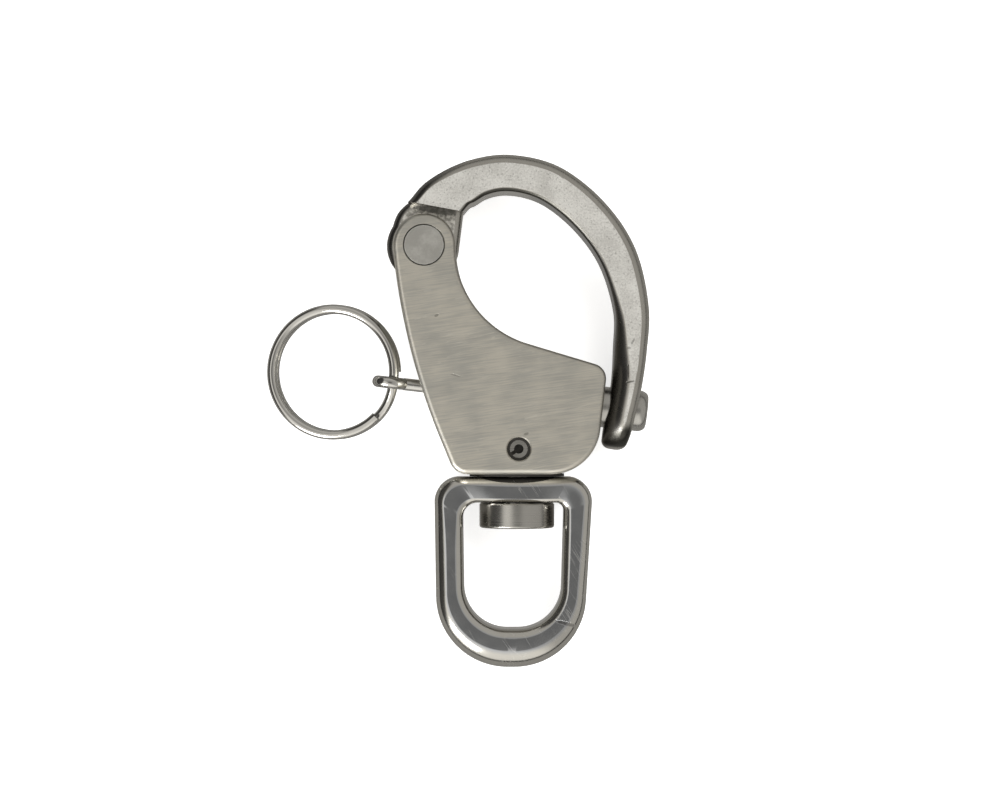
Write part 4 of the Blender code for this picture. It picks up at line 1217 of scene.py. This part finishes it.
def bolt_profile(steps=5):
    """Half a section: the head, rounded where it can be seen, and the stem up into the body."""
    top = EYE_TOP - EYE_TOP_BAR - RUNNING_GAP
    bottom = top - BOLT_HEAD_HEIGHT
    profile = [(0.0, bottom)]
    for n in range(steps + 1):
        angle = math.pi / 2 * n / steps
        radius = BOLT_HEAD_RADIUS - BOLT_BREAK * (1 - math.sin(angle))
        profile.append((radius, bottom + BOLT_BREAK * (1 - math.cos(angle))))
    profile += [(BOLT_HEAD_RADIUS, top - BOLT_BREAK / 2), (BOLT_HEAD_RADIUS - BOLT_BREAK / 2, top)]
    profile += [(STEM_RADIUS, top), (STEM_RADIUS, STEM_TOP - BOLT_BREAK)]
    return profile + [(STEM_RADIUS - BOLT_BREAK, STEM_TOP)]


bolt_finish = turned_steel("turned_bolt", (0.0, 1.0, 0.0), (0.38, 0.37, 0.35, 1.0), (0.60, 0.585, 0.55, 1.0))
cut_cross = turned([(PIN_RADIUS + SEAT_GAP, 0.0), (PIN_RADIUS + SEAT_GAP, THICKNESS)])
cut_cross = lay(cut_cross, (0, 0, 1), (PIN_X, PIN_Y, 0.0))
bolt_mesh = worked(
    lay(turned(bolt_profile()), (0, 1, 0), (0.0, 0.0, MID_Z)), [("DIFFERENCE", cut_cross)], "headed_bolt",
)
fit("headed_bolt", bolt_mesh, bolt_finish, "shackle_body", "swivel_bolt")


def pin_shape(steps=64):
    """Rolled from strip, with the slit left between the strip's edges."""
    def arc(radius):
        gap = math.asin(PIN_SLIT / 2 / radius)
        span = math.tau - 2 * gap
        points = []
        for n in range(steps + 1):
            angle = gap + span * n / steps
            points.append(Vector((math.cos(angle), math.sin(angle))) * radius)
        return points

    outline = arc(PIN_RADIUS) + arc(PIN_BORE_RADIUS)[::-1]
    pin = slab(outline, PIN_RECESS, THICKNESS - PIN_RECESS)
    pin.transform(Matrix.Translation((PIN_X, PIN_Y, 0.0)) @ Matrix.Rotation(PIN_TURN, 4, "Z"))
    return pin


def pin_shade_profile():
    """Painted shade round the pin's ends and down its bore."""
    low = (PIN_RECESS + PIN_MOUTH_DEPTH) / 2
    upper = [(PIN_RADIUS, THICKNESS - PIN_MOUTH_DEPTH), (PIN_MOUTH_RADIUS, THICKNESS - PIN_MOUTH_DEPTH)]
    upper += [(PIN_MOUTH_RADIUS, THICKNESS - low), (PIN_RADIUS, THICKNESS - low)]
    upper += [(PIN_BORE_RADIUS, THICKNESS - low - SHADE_DIP), (0.0, THICKNESS - low - SHADE_DIP)]
    return [(radius, THICKNESS - z) for radius, z in upper[::-1]] + upper


fit("rolled_pin", mesh_from(pin_shape(), "rolled_pin"), bolt_finish, "shackle_body", "retaining_pin")

# painted shade: a near-black, non-metallic fill standing for the shade in the gap and the hole
shade_fill, shade_fill_nodes, shade_fill_shader = steel("painted_shade_fill")
shade_fill_shader.inputs["Metallic"].default_value = 0.0
shade_fill_nodes.feed(shade_fill_shader.inputs["Base Color"], (0.02, 0.018, 0.015, 1.0))
shade_fill_nodes.feed(shade_fill_shader.inputs["Roughness"], 0.45 + 0.3 * mottle(shade_fill_nodes, 2000.0))
shade_under_body = turned([
    (STEM_RADIUS + SEAT_GAP, EYE_TOP + SHADE_CLEAR), (SHADE_REACH, EYE_TOP + SHADE_CLEAR),
    (SHADE_REACH, BODY_LOW.y + SHADE_HOLD), (STEM_RADIUS + SEAT_GAP, BODY_LOW.y + SHADE_HOLD),
    (STEM_RADIUS + SEAT_GAP, EYE_TOP + SHADE_CLEAR),
])
shade_under_body = lay(shade_under_body, (0, 1, 0), (0.0, 0.0, MID_Z))
shade_under_body.transform(Matrix.Diagonal((SHADE_SPREAD, 1.0, 1.0, 1.0)))
fit("painted_shade_under_body", mesh_from(shade_under_body, "painted_shade_under_body"), shade_fill, "shackle_body", "swivel_bolt")
pin_hole_shade = lay(turned(pin_shade_profile()), (0, 0, 1), (PIN_X, PIN_Y, 0.0))
fit("painted_shade_in_pin", mesh_from(pin_hole_shade, "painted_shade_in_pin"), shade_fill, "shackle_body", "retaining_pin")
